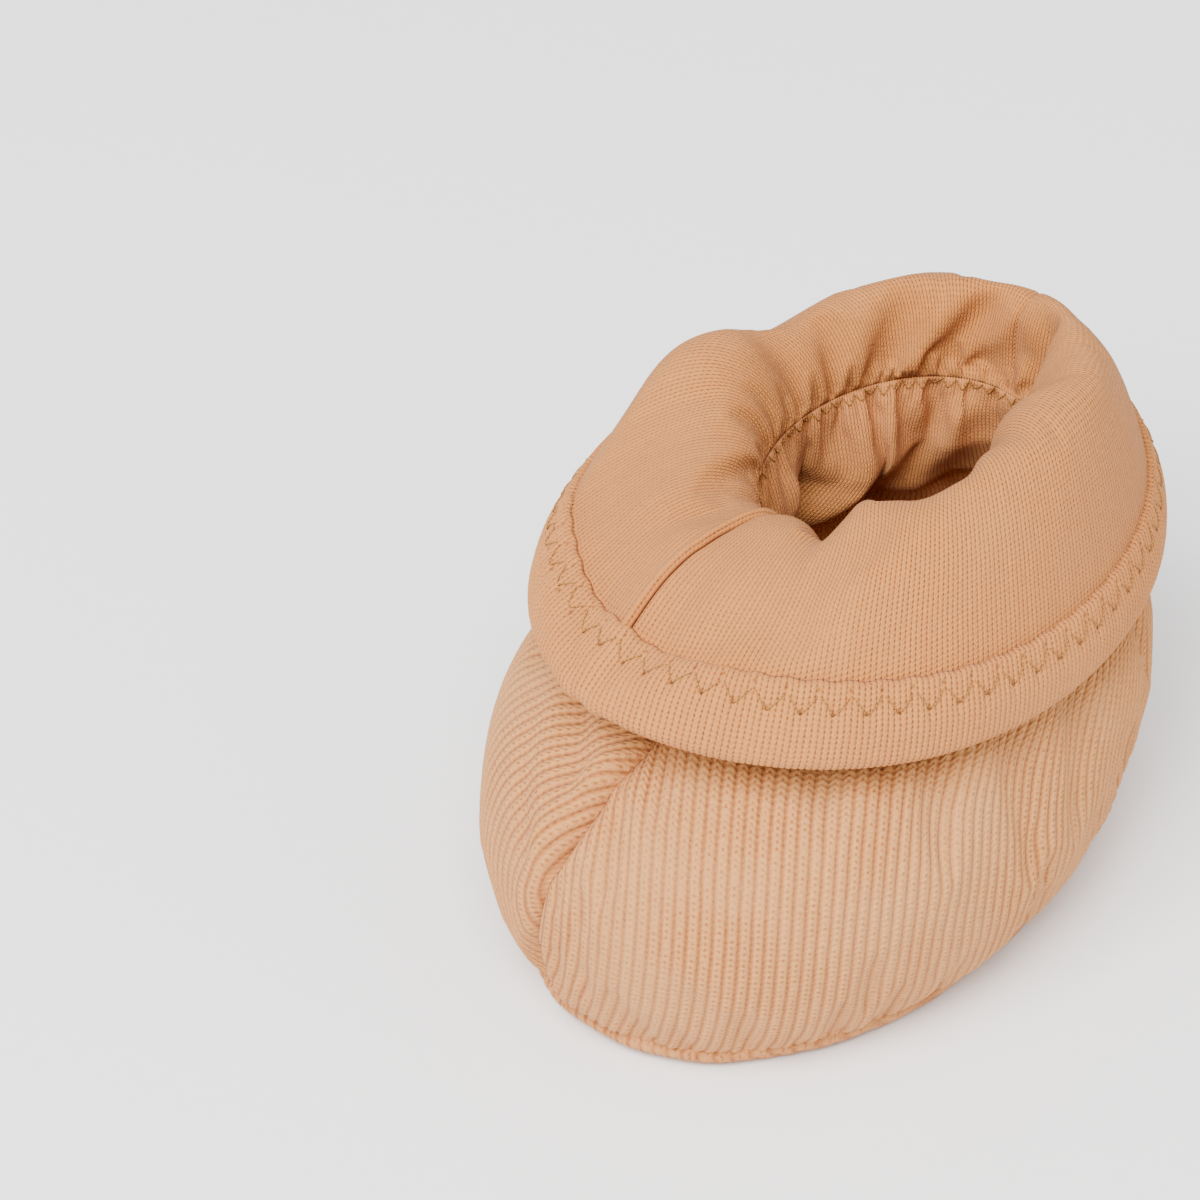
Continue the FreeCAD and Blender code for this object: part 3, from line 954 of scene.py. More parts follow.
def wadding_material():
    material, g = blank("polyester_wadding")
    place = g.add("ShaderNodeTexCoord")["Object"]
    tangled = {"Vector": place, "Scale": 900.0, "Detail": 6.0, "Distortion": 1.2}
    hair = g.add("ShaderNodeTexNoise", None, tangled)[0]
    clump = g.noise(place, 120.0, 3.0)
    tone = g.mix(hair.smooth(0.3, 0.7), dye(214, 210, 202), dye(246, 244, 240))
    tone = g.mix(clump.smooth(0.4, 0.75) * 0.4, tone, dye(226, 220, 208))
    cotton(g, tone, 0.9 + clump * 0.1, hair + clump, 0.5, 0.4)
    return material


def elastic_material():
    material, g = blank("braided_elastic")
    place = g.add("ShaderNodeSeparateXYZ", None, {0: g.add("ShaderNodeTexCoord")["Object"]})
    middle = elastic_mid / MM
    east = place["X"] / MM - middle[0]
    north = place["Y"] / MM - middle[1]
    bearing = g.math("ARCTAN2", east, north) * 60
    rise = place["Z"] / (0.5 * MM)
    braid = (bearing + rise * 2).cos() * (bearing - rise * 2).cos()
    cords = (rise * TURN).cos() * 0.5 + 0.5
    tone = g.mix(braid.smooth(-0.4, 0.7), dye(200, 196, 186), dye(240, 238, 232))
    cotton(g, tone, 0.55 + cords * 0.2, braid * 0.5 + cords * 0.6, 0.15)
    return material


THREAD = thread_material()
WADDING = wadding_material()
ELASTIC_BRAID = elastic_material()
print("materials so far:", len(bpy.data.materials))

# %% [markdown]
# ## Dressing a piece
# Every finished piece gets the same last steps: its material, smooth shading and the body it rides on, and
# the CAD node it stands for is hidden.

# %% Dress
def dress(obj, material, finish, *nodes):
    obj.data.materials.clear()
    obj.data.materials.append(material)
    smooth_shade(obj)
    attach(obj, "root")
    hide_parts(*nodes)
    corners = np.array(obj.bound_box) / MM
    low, high = corners.min(0).round(1), corners.max(0).round(1)
    print(f"{obj.name:24} {len(obj.data.polygons):7} faces, mm {low} to {high}")
    return obj


HALVES = {"left": (0.0, math.pi), "right": (math.pi, TURN)}
print("halves:", list(HALVES))

# %% [markdown]
# ## The two panels of the foot
# Each half of the foot is one panel of wide rib whose ribs run straight up its side. So the grid of a panel
# isn't laid by angle: its columns are lines at even steps of cloth from the one rib that runs straight up,
# five to a rib. Rows near the sole and the neck are shorter, so the outer ribs simply run out at the seams,
# and the two panels meet over the toe in the slant that sewn ribs make.

# %% Panel measures
PANEL_ROWS = 84
STEPS_PER_RIB = 5
RIB_HEIGHT = 0.42 * MM
OUTER_CLOTH = 1.2 * MM
STRAIGHT_RIB = {"left": math.radians(60), "right": math.radians(262)}  # where a rib runs straight up
column_step = RIB_PITCH / STEPS_PER_RIB


def hump(x, middle, width):
    return np.exp(-((x - middle) / width) ** 2)


def seam_lean(up):
    """The front seam's angle at a height share: over the toe it drifts to the wearer's right."""
    return math.radians(-15) * np.clip(1 - up / 0.6, 0, 1)


def walk_round(row, start, end, middle, count=600):
    """Angles round one row of the foot, and how far along the cloth each lies from the middle angle."""
    angles = np.linspace(start, end, count)
    points = foot_skin_smooth.at(np.full(count, row), angles)
    walked = np.concatenate([[0], np.cumsum(np.linalg.norm(np.diff(points, axis=0), axis=1))])
    return angles, walked - np.interp(middle, angles, walked)


print("straight ribs at, degrees:", [round(math.degrees(a)) for a in STRAIGHT_RIB.values()])

# %% [markdown]
# ## Creases beside the seams
# Every seam draws a valley in the padded cloth. Beside the front seam the right panel also rolls up over
# the valley, and pleats fan out of it; the left panel only swells a little.

# %% How far a panel stands out
def panel_moves(side, front, back, up):
    """How far the cloth stands out, from its metres to the front and back seams and its height share."""
    deep = np.clip((up - 0.02) / 0.1, 0, 1) * np.clip((0.8 - up) / 0.12, 0, 1)
    clear = np.clip(front / (1.2 * MM), 0, 1)
    sharp = 1.8 * MM if side == "left" else 0.8 * MM
    move = -1.7 * MM * np.exp(-front / sharp) * deep
    move -= 0.8 * MM * np.exp(-back / (1.8 * MM)) * deep
    if side == "right":
        roll = hump(up, 0.47, 0.2) * clear
        move += 1.5 * MM * hump(front, 3.0 * MM, 2.2 * MM) * roll
        move -= 0.7 * MM * hump(front, 11 * MM, 4 * MM) * hump(up, 0.6, 0.14)
        slant = up - front / (95 * MM)
        fan = np.clip(front / (4 * MM), 0, 1) * np.clip((24 * MM - front) / (12 * MM), 0, 1)
        move += (0.9 * hump(slant, 0.52, 0.035) - 0.9 * hump(slant, 0.45, 0.03)) * MM * fan
        move += (0.7 * hump(slant, 0.37, 0.04) - 0.5 * hump(slant, 0.31, 0.03)) * MM * fan
    else:
        move += 0.6 * MM * hump(front, 6 * MM, 4 * MM) * hump(up, 0.4, 0.2) * clear
        move -= 0.9 * MM * hump(front, 60 * MM, 14 * MM) * hump(up, 0.56, 0.1)
    return move


print("valley at the front seam, mm:", round(float(panel_moves("left", 0.0, 1.0, 0.4)) / MM, 2))

# %% [markdown]
# ## Laying the ribs
# A panel's rows are walked in metres of cloth, and its columns sit at even steps of that walk. Where a row
# is too short for a rib, the rib's points stop at the seam and are merged there.

# %% Outer panels
def outer_panel(side):
    start, end = HALVES[side]
    middle = STRAIGHT_RIB[side]
    rows = np.linspace(0, FOOT_ROWS - 1, PANEL_ROWS)
    walks = []
    for row in rows:
        lean = float(seam_lean(row / (FOOT_ROWS - 1)))
        first, last = (lean, end) if side == "left" else (start, end + lean)
        walks.append(walk_round(row, first, last, middle))
    reach_low = min(w[0] for _, w in walks)
    reach_high = max(w[-1] for _, w in walks)
    steps = np.arange(math.floor(reach_low / column_step), math.ceil(reach_high / column_step) + 1)
    across = steps * column_step
    angle = np.array([np.interp(across, walked, angles) for angles, walked in walks])
    kept = np.array([np.clip(across, walked[0], walked[-1]) for _, walked in walks])
    to_start = np.array([across_row - walked[0] for across_row, (_, walked) in zip(kept, walks)])
    to_end = np.array([walked[-1] - across_row for across_row, (_, walked) in zip(kept, walks)])
    front, back = (to_start, to_end) if side == "left" else (to_end, to_start)
    row = np.broadcast_to(rows[:, None], angle.shape)
    up = row / (FOOT_ROWS - 1)
    out = foot_skin_smooth.facing(row, angle)
    face = foot_skin_sewn.at(row, angle) + out * panel_moves(side, front, back, up)[..., None]
    length = np.linalg.norm(np.diff(foot_drawn[:, ::BACK // 2], axis=0), axis=-1).sum(0).mean()
    edge = np.clip(np.minimum(front, back) / (2.2 * MM), 0, 1) * np.clip((0.86 - up) / 0.06, 0, 1)
    name = f"outer_panel_{side}_knit"
    panel = cloth_shell(name, face, face - out * OUTER_CLOTH, kept, up * length, fade=edge)
    merge_doubles(panel)
    grow(panel, RIB_TREE, Pitch=RIB_PITCH, Height=RIB_HEIGHT, Material=WIDE_RIB)
    return dress(panel, WIDE_RIB, "outer_rib_knit", f"outer_panel_{side}")


for side in HALVES:
    outer_panel(side)

# %% [markdown]
# ## The cuff's face
# The fine rib runs from the ankle to the hem, and its wales are spaced evenly along the hem, so they draw
# together at the elastic. The two halves meet in a seam a little to the right of the toe. The seam's
# allowance is pressed toward the right half, which makes a narrow welt there and a sharp line beside it.

# %% Even steps along the hem, and the cuff facings
FINE_CLOTH = 0.9 * MM
CUFF_SEAM = math.radians(-8)
FACING_ROWS = 122
roll_lengths = np.linalg.norm(np.diff(sleeve_drawn[ELASTIC_ROW:], axis=0), axis=-1).sum(0)


def angle_at(walk):
    return np.interp(walk, hem_walk, hem_angles)


def walk_at(angle):
    return float(np.interp(angle, hem_angles, hem_walk))


def roll_length(angle):
    return np.interp(angle % TURN, np.append(ring_angles, TURN), np.append(roll_lengths, roll_lengths[0]))


def wale_lines(start, end, per_wale):
    """Metres along the hem from one angle to another, in even steps."""
    first, last = walk_at(start), walk_at(end)
    return np.linspace(first, last, round((last - first) / FINE_PITCH * per_wale) + 1)


def cuff_welt(side, gap):
    """The cuff's front seam, from the metres between a point and the seam."""
    if side == "right":
        return 0.75 * MM * hump(gap, 0.95 * MM, 0.8 * MM) - 0.25 * MM * hump(gap, 0, 0.3 * MM)
    return -0.75 * MM * np.exp(-gap / (0.7 * MM))


def cuff_facing(side):
    ends = {"left": (CUFF_SEAM, math.pi), "right": (math.pi, TURN + CUFF_SEAM)}
    walk = wale_lines(*ends[side], 2)[None, :]
    angle = angle_at(walk)
    row = np.linspace(ELASTIC_ROW, LAST_ROW - 0.4, FACING_ROWS)[:, None]
    into = sleeve_skin.facing(row, angle)
    face = sleeve_skin.at(row, angle)
    girth = np.linalg.norm(face - face.mean(1, keepdims=True), axis=-1)
    seam_angle = CUFF_SEAM if side == "left" else TURN + CUFF_SEAM
    gap = np.abs(angle - seam_angle) * girth
    back_gap = np.abs(angle - math.pi) * girth
    down = (row - ELASTIC_ROW) / (ROLL_ROWS - 1)
    shown = np.clip(down / 0.08, 0, 1)
    lift = cuff_welt(side, gap) * shown - 0.5 * MM * np.exp(-back_gap / (0.7 * MM)) * shown
    face = face - into * lift[..., None]
    along = down * roll_length(angle)
    name = f"cuff_facing_{side}_knit"
    piece = cloth_shell(name, face, face + into * FINE_CLOTH, walk, along, looks_in=True)
    return dress(piece, FINE_RIB, "fine_rib_knit", f"cuff_facing_{side}")


for side in HALVES:
    cuff_facing(side)

# %% [markdown]
# ## The lining and the cuff's underside
# The lining is the same sleeve below the elastic, seen from inside the foot, with the gathers that the
# elastic makes. The underside of the cuff is a second layer behind its wadding, with faint ripples.

# %% Lining panels and cuff undersides
LINING_SHOWN_ROWS = 84
under_rows = [roll_skin(ring_angles, np.full(SLEEVE_COLUMNS, t), 1.0) for t in np.linspace(0, 1, 60)]
under_skin = Skin(even_steps(np.array(under_rows), ROLL_ROWS))
lining_length = np.linalg.norm(np.diff(lining_drawn, axis=0), axis=-1).sum(0).mean()


def lining_panel(side):
    walk = wale_lines(*HALVES[side], 2)[None, :]
    angle = angle_at(walk)
    share = np.linspace(0, 1, LINING_SHOWN_ROWS)[:, None]
    row = ELASTIC_ROW * share
    into = sleeve_skin.facing(row, angle)
    face = sleeve_skin.at(row, angle)
    along = share * lining_length + 0 * angle
    name = f"lining_panel_{side}_knit"
    piece = cloth_shell(name, face, face + into * FINE_CLOTH, walk, along, looks_in=True)
    return dress(piece, INNER_RIB, "fine_rib_knit", f"lining_panel_{side}")


def cuff_underside(side):
    walk = wale_lines(*HALVES[side], 1)[None, :]
    angle = angle_at(walk)
    share = np.linspace(0.03, 0.95, 46)[:, None]
    row = share * (ROLL_ROWS - 1)
    out = under_skin.facing(row, angle)
    face = under_skin.at(row, angle) + out * 0.2 * MM * np.cos(angle * 19 + share * 5)[..., None]
    along = share * roll_length(angle)
    piece = cloth_shell(f"cuff_underside_{side}_knit", face, face - out * FINE_CLOTH, walk, along)
    return dress(piece, FINE_RIB, "fine_rib_knit", f"cuff_underside_{side}")


for side in HALVES:
    lining_panel(side)
    cuff_underside(side)
print("underside and lining rows:", under_skin.rows, LINING_SHOWN_ROWS)

# %% [markdown]
# ## Discs for everything flat underfoot
# A sole is a stack of rings that shrink to a point in the middle. Rings keep the edge smooth all round and
# let it turn up, and a second stack under the first closes the piece.

# %% Discs of rings
def disc(name, rings, back_rings, across=None):
    """A closed disc of rings round its middle, the first ring shrunk to the centre point."""
    rows, columns = rings.shape[:2]
    face = grid_faces(rows, columns, True)
    back = face[:, ::-1] + rows * columns
    c = np.arange(columns)
    d = (c + 1) % columns
    rim = np.stack([c, d, d + rows * columns, c + rows * columns], -1) + (rows - 1) * columns
    obj = mesh_object(name, np.concatenate([rings, back_rings]), np.concatenate([face, back, rim]))
    if across is not None:
        store_floats(obj.data, "across", np.concatenate([across.ravel(), across.ravel()]))
        store_floats(obj.data, "relief", np.repeat([1.0, 0.0], rows * columns))
    merge_doubles(obj)
    return obj


def filled_rings(edge_rings, inner_count):
    """Rings from a centre point out to the first of the edge rings, then the edge rings themselves."""
    edge = np.asarray(edge_rings)
    centre = edge[0].mean(0)
    share = np.linspace(0, 1, inner_count, endpoint=False)[:, None, None]
    return np.concatenate([centre + (edge[0] - centre) * share, edge])


def ring_set(base, profile):
    """Rings grown from a base ring by (grow, height) pairs in millimetres."""
    flat = base * [1, 1, 0]
    out = from_centre(flat)
    return [flat + out * grow * MM + [0, 0, height * MM] for grow, height in profile]


print("a ring set of two has", len(ring_set(SOLE_EDGE.at(ring_angles), [(0, 0), (1, 1)])), "rings")

# %% [markdown]
# ## The sole and what lies on it
# The outsole is wide rib with its ribs along the foot. Its edge is turned up and sewn to the panels, which
# leaves a plump little lip round the bootie just off the floor. The insole and its wadding lie inside.

# %% Outsole, insole and sole wadding
SOLE_COLUMNS = 420
sole_angles = np.arange(SOLE_COLUMNS) * TURN / SOLE_COLUMNS
sole_ring = SOLE_EDGE.at(sole_angles)
# each pair is how far out of the sole's edge and how high, in mm
lip = [(-3.2, 0.0), (-1.6, 0.05), (-0.3, 0.25), (0.8, 0.7), (1.6, 1.4)]
lip += [(2.1, 2.2), (2.2, 3.0), (1.7, 3.7), (0.8, 4.0)]
lip_back = [(-3.2, 1.1), (-1.8, 1.15), (-0.9, 1.3), (-0.2, 1.6), (0.3, 2.0)]
lip_back += [(0.7, 2.5), (0.9, 2.9), (0.9, 3.2), (0.6, 3.4)]
lip_wave = 0.25 * np.sin(sole_angles * 9 + 1) + 0.18 * np.sin(sole_angles * 17 + 2)


def waved(rings):
    """Lets the lip rise and fall a little round the foot."""
    raised = np.array(rings)
    raised[4:, :, 2] += lip_wave * MM
    return raised


sole_face = filled_rings(waved(ring_set(sole_ring, lip)), 56)
sole_back = filled_rings(waved(ring_set(sole_ring, lip_back)), 56)
lip_share = np.clip((sole_face[..., 2] - 0.1 * MM) / (1.2 * MM), 0, 1)
sole_across = sole_face[..., 0] + 0.8 * sole_face[..., 2] * lip_share
off_floor = [0, 0, 0.25 * MM]
outsole = disc("outsole_knit", sole_face + off_floor, sole_back + off_floor, sole_across)
grow(outsole, RIB_TREE, Pitch=RIB_PITCH, Height=0.22 * MM, Material=SOLE_RIB)
dress(outsole, SOLE_RIB, "outer_rib_knit", "outsole")

insole_edge = [(-5.8, 4.35), (-5.0, 4.6)]
insole_back = [(-5.8, 5.15), (-5.2, 5.2)]
insole = disc(
    "insole_lining_knit",
    filled_rings(ring_set(sole_ring, insole_edge), 24),
    filled_rings(ring_set(sole_ring, insole_back), 24),
)
dress(insole, INSOLE_KNIT, "fine_rib_knit", "insole_lining")

pad_low = [(-6.6, 1.7), (-5.4, 2.1), (-5.0, 2.8)]
pad_high = [(-6.6, 4.0), (-5.6, 3.7), (-5.0, 2.9)]
sole_pad = disc(
    "wadding_sole_fleece",
    filled_rings(ring_set(sole_ring, pad_low), 20),
    filled_rings(ring_set(sole_ring, pad_high), 20),
)
dress(sole_pad, WADDING, "wadding", "wadding_sole")

# %% [markdown]
# ## Wadding between the cloths
# The wadding fills what the cloths leave, so each pad is made from the two skins on either side of it: its
# outside lies a share of the way through the wall and its inside a larger share, and it bulges wherever
# they do.

# %% Foot and cuff wadding
PAD_COLUMNS = 121


def through(outer, inner, share):
    return outer + (inner - outer) * share


def pad(name, outer, inner, depths, node):
    """A pad between two grids, thinned to a soft edge all round."""
    rows, columns = outer.shape[:2]
    r = np.sin(np.linspace(0, math.pi, rows))[:, None]
    c = np.sin(np.linspace(0, math.pi, columns))[None, :]
    full = np.clip(np.minimum(r * 3, c * 6), 0.08, 1)[..., None]
    middle = sum(depths) / 2
    half = (depths[1] - depths[0]) / 2
    face = through(outer, inner, middle - half * full)
    piece = cloth_shell(name, face, through(outer, inner, middle + half * full), 0.0, 0.0)
    dress(piece, WADDING, "wadding", node)


for side, (start, end) in HALVES.items():
    angle = np.linspace(start + 0.04, end - 0.04, PAD_COLUMNS)[None, :]
    share = np.linspace(0.05, 0.86, 60)[:, None]
    foot_out = foot_skin_sewn.at(share * (FOOT_ROWS - 1), angle)
    foot_in = sleeve_skin.at(share * ELASTIC_ROW, angle)
    pad(f"wadding_{side}_fleece", foot_out, foot_in, (0.34, 0.7), f"wadding_{side}")
    share = np.linspace(0.1, 0.84, 60)[:, None]
    roll_out = sleeve_skin.at(ELASTIC_ROW + share * (ROLL_ROWS - 1), angle)
    roll_in = under_skin.at(share * (ROLL_ROWS - 1), angle)
    pad(f"cuff_wadding_{side}_fleece", roll_in, roll_out, (0.3, 0.66), f"cuff_wadding_{side}")

# %% [markdown]
# ## The binding
# A strip of fine rib is folded over the cuff's raw edge: ten millimetres of it on the face, a plump
# fold at the hem, and eight behind. Zigzag stitching holds it, and each point of the zigzag pulls a small
# dimple, so the strip puffs up between them. The strip's two ends meet at the wearer's right.

# %% Dimples and the binding's face
BAND_WIDTH = 10.0 * MM
BAND_BEHIND = 8.0 * MM
BAND_ROWS = 28
BAND_JOIN = math.radians(-95)
ZIGZAGS = 60
ZIGZAG_MIDDLE = 6.9 * MM  # up from the hem
ZIGZAG_HEIGHT = 2.9 * MM
DIMPLE = 0.62 * MM
HEM_ROUND = HEM_WALL / 2 + BAND_LIFT


def roll_row(angle, above_hem):
    return LAST_ROW - above_hem / roll_length(angle) * (ROLL_ROWS - 1)


def dimples(walk, above_hem):
    """How far the zigzag's points pull the band in, and how far it puffs between them."""
    turn = walk / HEM_LENGTH * ZIGZAGS
    pull = 0
    for shift, level in ((0.0, 0.5), (0.5, -0.5)):
        beside = ((turn - shift + 0.5) % 1 - 0.5) * HEM_LENGTH / ZIGZAGS
        above = above_hem - ZIGZAG_MIDDLE - level * ZIGZAG_HEIGHT
        pull = pull + np.exp(-(beside ** 2 + above ** 2) / DIMPLE ** 2)
    line = hump(above_hem, ZIGZAG_MIDDLE, 2.4 * MM)
    return 0.5 * MM * pull + 0.28 * MM * line, pull


def band_face(walk, above_hem):
    """Points on the band's face, and the way they look."""
    angle = angle_at(walk)
    row = roll_row(angle, above_hem)
    out = -sleeve_skin.facing(row, angle)
    puff = 0.75 * MM * np.sin(np.clip(above_hem / BAND_WIDTH, 0, 1) * math.pi) ** 0.8
    join = 0.5 * MM * np.exp(-((angle - BAND_JOIN + 0.5 * TURN) % TURN - 0.5 * TURN) ** 2 / 0.02 ** 2)
    lift = BAND_LIFT + puff - dimples(walk, above_hem)[0] - join
    return sleeve_skin.at(row, angle) + out * lift[..., None], out


print("zigzag pitch, mm:", round(HEM_LENGTH / ZIGZAGS / MM, 2))

# %% [markdown]
# ## Folding the strip over the hem
# The strip's section is walked from its tucked upper edge down the face, round the hem in a half turn, and
# up behind, and then set out in even rows. Its pull on the cloth is kept as an attribute, so the
# material can paint shade into the stitch holes.

# %% The binding's section and piece
def band_rings():
    walk = np.linspace(walk_at(BAND_JOIN), walk_at(BAND_JOIN) + HEM_LENGTH, FINE_WALES * 4 + 1)
    angle = angle_at(walk)
    scallop = 0.14 * MM * np.cos(walk / HEM_LENGTH * ZIGZAGS * TURN)
    rings = []
    tucked = band_face(walk, BAND_WIDTH + scallop)
    rings.append(tucked[0] - tucked[1] * 0.8 * MM)
    for above in np.linspace(BAND_WIDTH - 0.25 * MM, 0.7 * MM, 15):
        rings.append(band_face(walk, above + scallop * above / BAND_WIDTH)[0])
    low, out = band_face(walk, np.full(walk.shape, 0.35 * MM))
    down = sleeve_skin.along(roll_row(angle, 0.9 * MM), angle)
    centre = low - out * HEM_ROUND
    for turn in np.linspace(0.12, 0.95, 7) * math.pi:
        rings.append(centre + HEM_ROUND * (math.cos(turn) * out + 1.1 * math.sin(turn) * down))
    for above in np.linspace(0.8 * MM, BAND_BEHIND, 7):
        spread = 2 * HEM_ROUND + 0.18 * above
        rings.append(low - out * spread - down * above)
    return walk, even_steps(np.array(rings), BAND_ROWS)


band_walk, band_grid = band_rings()
band_in = unit(np.cross(np.gradient(band_grid, axis=0), np.gradient(band_grid, axis=1)))
band_along = np.linspace(0, BAND_WIDTH + BAND_BEHIND + HEM_ROUND * math.pi, BAND_ROWS)[:, None]
binding = cloth_shell(
    "cuff_binding_knit", band_grid, band_grid - band_in * 0.7 * MM, band_walk[None, :], band_along,
    looks_in=True,
)
from_hem = np.maximum(BAND_WIDTH - band_along[:, 0], 0)
pulls = np.array([dimples(band_walk, height)[1] for height in from_hem])
# pull marks the stitch dimples; the binding's material paints shade there.
store_floats(binding.data, "pull", np.concatenate([pulls.ravel(), 0 * pulls.ravel()]))
grow(binding, RIB_TREE, Pitch=FINE_PITCH, Height=0.13 * MM, Material=BAND_RIB)
dress(binding, BAND_RIB, "binding_knit", "cuff_binding")

# %% [markdown]
# ## Sewing
# Each seam is a line of points with two directions at every point: to the side, and out of the cloth. The
# stitch tree does the rest. A thread's length over its width of swing decides what stitch it is: wide
# for the zigzags, narrow for the lockstitch of the hidden seams.

# %% Threads
STEPS_PER_STITCH = 12
THREAD_RADIUS = 0.1 * MM


def sew(name, lines, stitches, width, dip, node):
    """Sews along lines of (points, side, out, closed)."""
    points, sides, outs, edges = [], [], [], []
    for line, side, out, closed in lines:
        first = sum(len(p) for p in points)
        count = len(line)
        links = [(first + i, first + i + 1) for i in range(count - 1)]
        edges += links + ([(first + count - 1, first)] if closed else [])
        points.append(line)
        sides.append(side)
        outs.append(out)
    mesh = bpy.data.meshes.new(name)
    mesh.from_pydata(np.concatenate(points).tolist(), edges, [])
    store_vectors(mesh, "side", np.concatenate(sides))
    store_vectors(mesh, "out", np.concatenate(outs))
    thread = link(bpy.data.objects.new(name, mesh))
    inputs = {"Points": stitches * STEPS_PER_STITCH, "Steps": STEPS_PER_STITCH, "Width": width,
              "Dip": dip, "Thread": THREAD_RADIUS, "Material": THREAD}
    grow(thread, STITCH_TREE, **inputs)
    return dress(thread, THREAD, "sewing_thread", node)


print("thread is", THREAD_RADIUS * 2 / MM, "mm thick")

# %% [markdown]
# ## The two zigzags that show
# One runs along the binding and one round the ankle over the elastic. Both lie just proud of their cloth
# and dive into it at their points.

# %% Zigzags
zigzag_walk = np.arange(960) / 960 * HEM_LENGTH
on_band, band_out = band_face(zigzag_walk, np.full(960, ZIGZAG_MIDDLE))
band_up = unit(band_face(zigzag_walk, np.full(960, ZIGZAG_MIDDLE + 1 * MM))[0] - on_band)
band_line = (on_band + band_out * 0.16 * MM, band_up, band_out, True)
sew("binding_zigzag", [band_line], ZIGZAGS, ZIGZAG_HEIGHT, 0.5 * MM, "binding_zigzag_thread")

ankle_angles = np.arange(720) / 720 * TURN
ankle_row = np.full(720, ELASTIC_ROW - 0.45)
ankle_out = -sleeve_skin.facing(ankle_row, ankle_angles)
ankle_points = sleeve_skin.at(ankle_row, ankle_angles) + ankle_out * 0.1 * MM
ankle_line = (ankle_points, sleeve_skin.along(ankle_row, ankle_angles), ankle_out, True)
sew("ankle_zigzag", [ankle_line], 66, 1.5 * MM, 0.14 * MM, "ankle_zigzag_thread")


# %% [markdown]
# ## The seams that hide
# The seams inside are lockstitch, sunk under the face of the cloth they hold, so they show only when a
# seam is opened. They follow the same skins as the cloth does.

# %% Hidden seams
def seam_line(skin, first, last, angle, sunk, count=120):
    """A line up a skin at one angle, sunk under its face."""
    rows = np.linspace(first, last, count)
    angles = angle + 0 * rows
    out = skin.facing(rows, angles)
    along = skin.along(rows, angles)
    return skin.at(rows, angles) - out * sunk, np.cross(out, along), out, False


seam_rows = np.linspace(1.5, FOOT_ROWS - 8, 120)
front = seam_line(foot_skin_sewn, 1.5, FOOT_ROWS - 8, seam_lean(seam_rows / (FOOT_ROWS - 1)), 3.3 * MM)
back = seam_line(foot_skin_sewn, 1.5, FOOT_ROWS - 8, math.pi, 2.6 * MM)
inner = [seam_line(sleeve_skin, 3, ELASTIC_ROW - 4, a, -1.3 * MM) for a in (0.0, math.pi)]
sew("front_seam", [front], 30, 1.0 * MM, 0.1 * MM, "front_seam_thread")
sew("back_seam", [back], 30, 1.0 * MM, 0.1 * MM, "back_seam_thread")
sew("lining_seam", inner, 26, 1.0 * MM, 0.1 * MM, "lining_seam_thread")
sole_out = from_centre(sole_ring * [1, 1, 0])
under_lip = sole_ring * [1, 1, 0] - sole_out * 0.9 * MM + [0, 0, 2.3 * MM]
sole_line = (under_lip, sole_out, [0, 0, 1] + 0 * sole_out, True)
sew("sole_seam", [sole_line], 90, 0.8 * MM, 0.1 * MM, "sole_seam_thread")

# %% [markdown]
# ## The elastic keeps its CAD shape
# The elastic is a plain band in life too, so its CAD node stays and only gets its braid.

# %% The elastic
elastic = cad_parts["ankle_elastic"]
elastic.data.materials.clear()
elastic.data.materials.append(ELASTIC_BRAID)
print("kept as it is:", elastic.name)

# %% [markdown]
# ## Studio
# A white sheet for a floor, a large soft light high in front, a second one on the camera's side that
# evens out the roll, a faint one on the right, and a pale sky that fills every shadow. The camera looks
# down on the toe from the wearer's left.

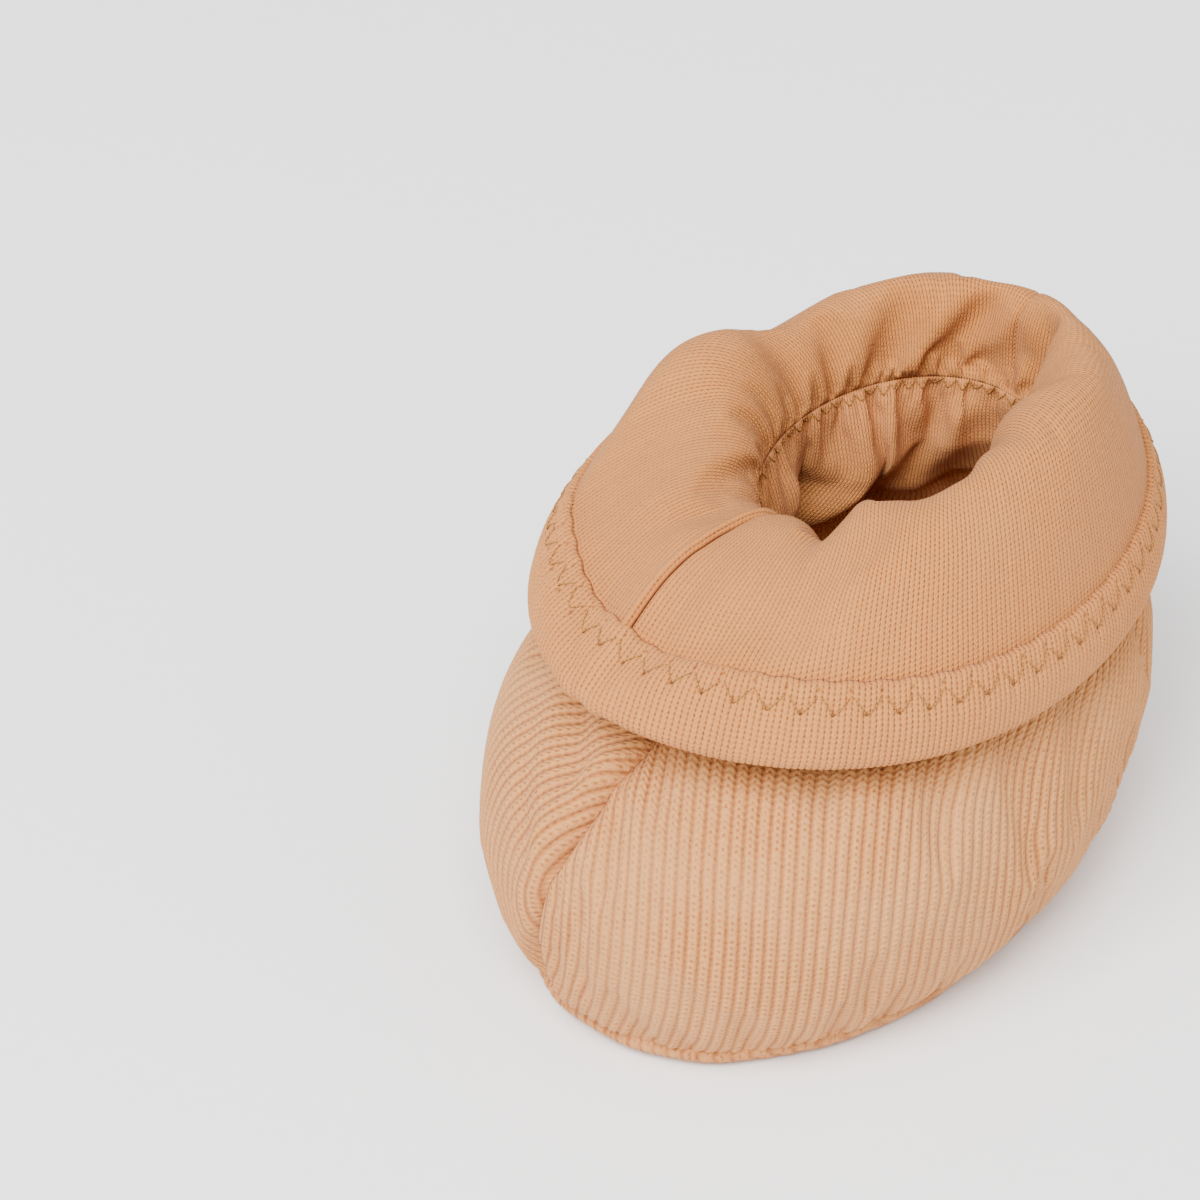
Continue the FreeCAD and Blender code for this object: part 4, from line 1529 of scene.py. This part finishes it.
# %% Floor, lights and camera
LOOK_AT = Vector((0.0, 0.0005, 0.035))
CAMERA_AWAY = 0.9
CAMERA_BEARING = math.radians(41.9)
CAMERA_HEIGHT = math.radians(39.4)


def direction(bearing, height):
    """From the object toward a point on the sky; bearing 0 is straight before the toe."""
    flat = math.cos(height)
    return Vector((math.sin(bearing) * flat, -math.cos(bearing) * flat, math.sin(height)))


def aim(obj, place, at):
    obj.location = place
    obj.rotation_euler = (at - place).to_track_quat("-Z", "Y").to_euler()


def softbox(name, bearing, height, away, size, power):
    lamp = bpy.data.lights.new(name, "AREA")
    lamp.size = size
    lamp.energy = power
    obj = link(bpy.data.objects.new(name, lamp))
    aim(obj, LOOK_AT + direction(math.radians(bearing), math.radians(height)) * away, LOOK_AT)
    return obj


def floor_material():
    material, g = blank("white_paper")
    place = g.add("ShaderNodeTexCoord")["Object"]
    grain = g.noise(place, 400.0, 3.0)
    tone = g.mix(grain, dye(246, 246, 246), dye(250, 250, 250))
    cotton(g, tone, 0.85 + grain * 0.1, grain, 0.02, 0.0)
    return material


edge = 3.0
corners = np.array([[-edge, -edge, 0], [edge, -edge, 0], [edge, edge, 0], [-edge, edge, 0]])
floor = mesh_object("floor", corners, np.array([[0, 1, 2, 3]]))
floor.data.materials.append(floor_material())
softbox("key", 6, 50, 1.3, 0.8, 27)
softbox("front", 38, 58, 1.4, 0.7, 20)
softbox("side", 110, 40, 1.4, 0.9, 3)
sky = bpy.data.worlds.new("studio")
bpy.context.scene.world = sky
sky.use_nodes = True
sky.node_tree.nodes["Background"].inputs[0].default_value = (1, 1, 1, 1)
sky.node_tree.nodes["Background"].inputs[1].default_value = 0.95
camera = bpy.data.cameras.new("camera")
camera.sensor_width = 36
camera.lens = 191.7
camera_object = link(bpy.data.objects.new("camera", camera))
back = direction(CAMERA_BEARING, CAMERA_HEIGHT)
right = Vector((math.cos(CAMERA_BEARING), math.sin(CAMERA_BEARING), 0))
centre = LOOK_AT - right * 0.0323 + back.cross(right) * 0.01066
aim(camera_object, centre + back * CAMERA_AWAY, centre)
bpy.context.scene.camera = camera_object
print("camera at", tuple(round(v, 3) for v in camera_object.location))
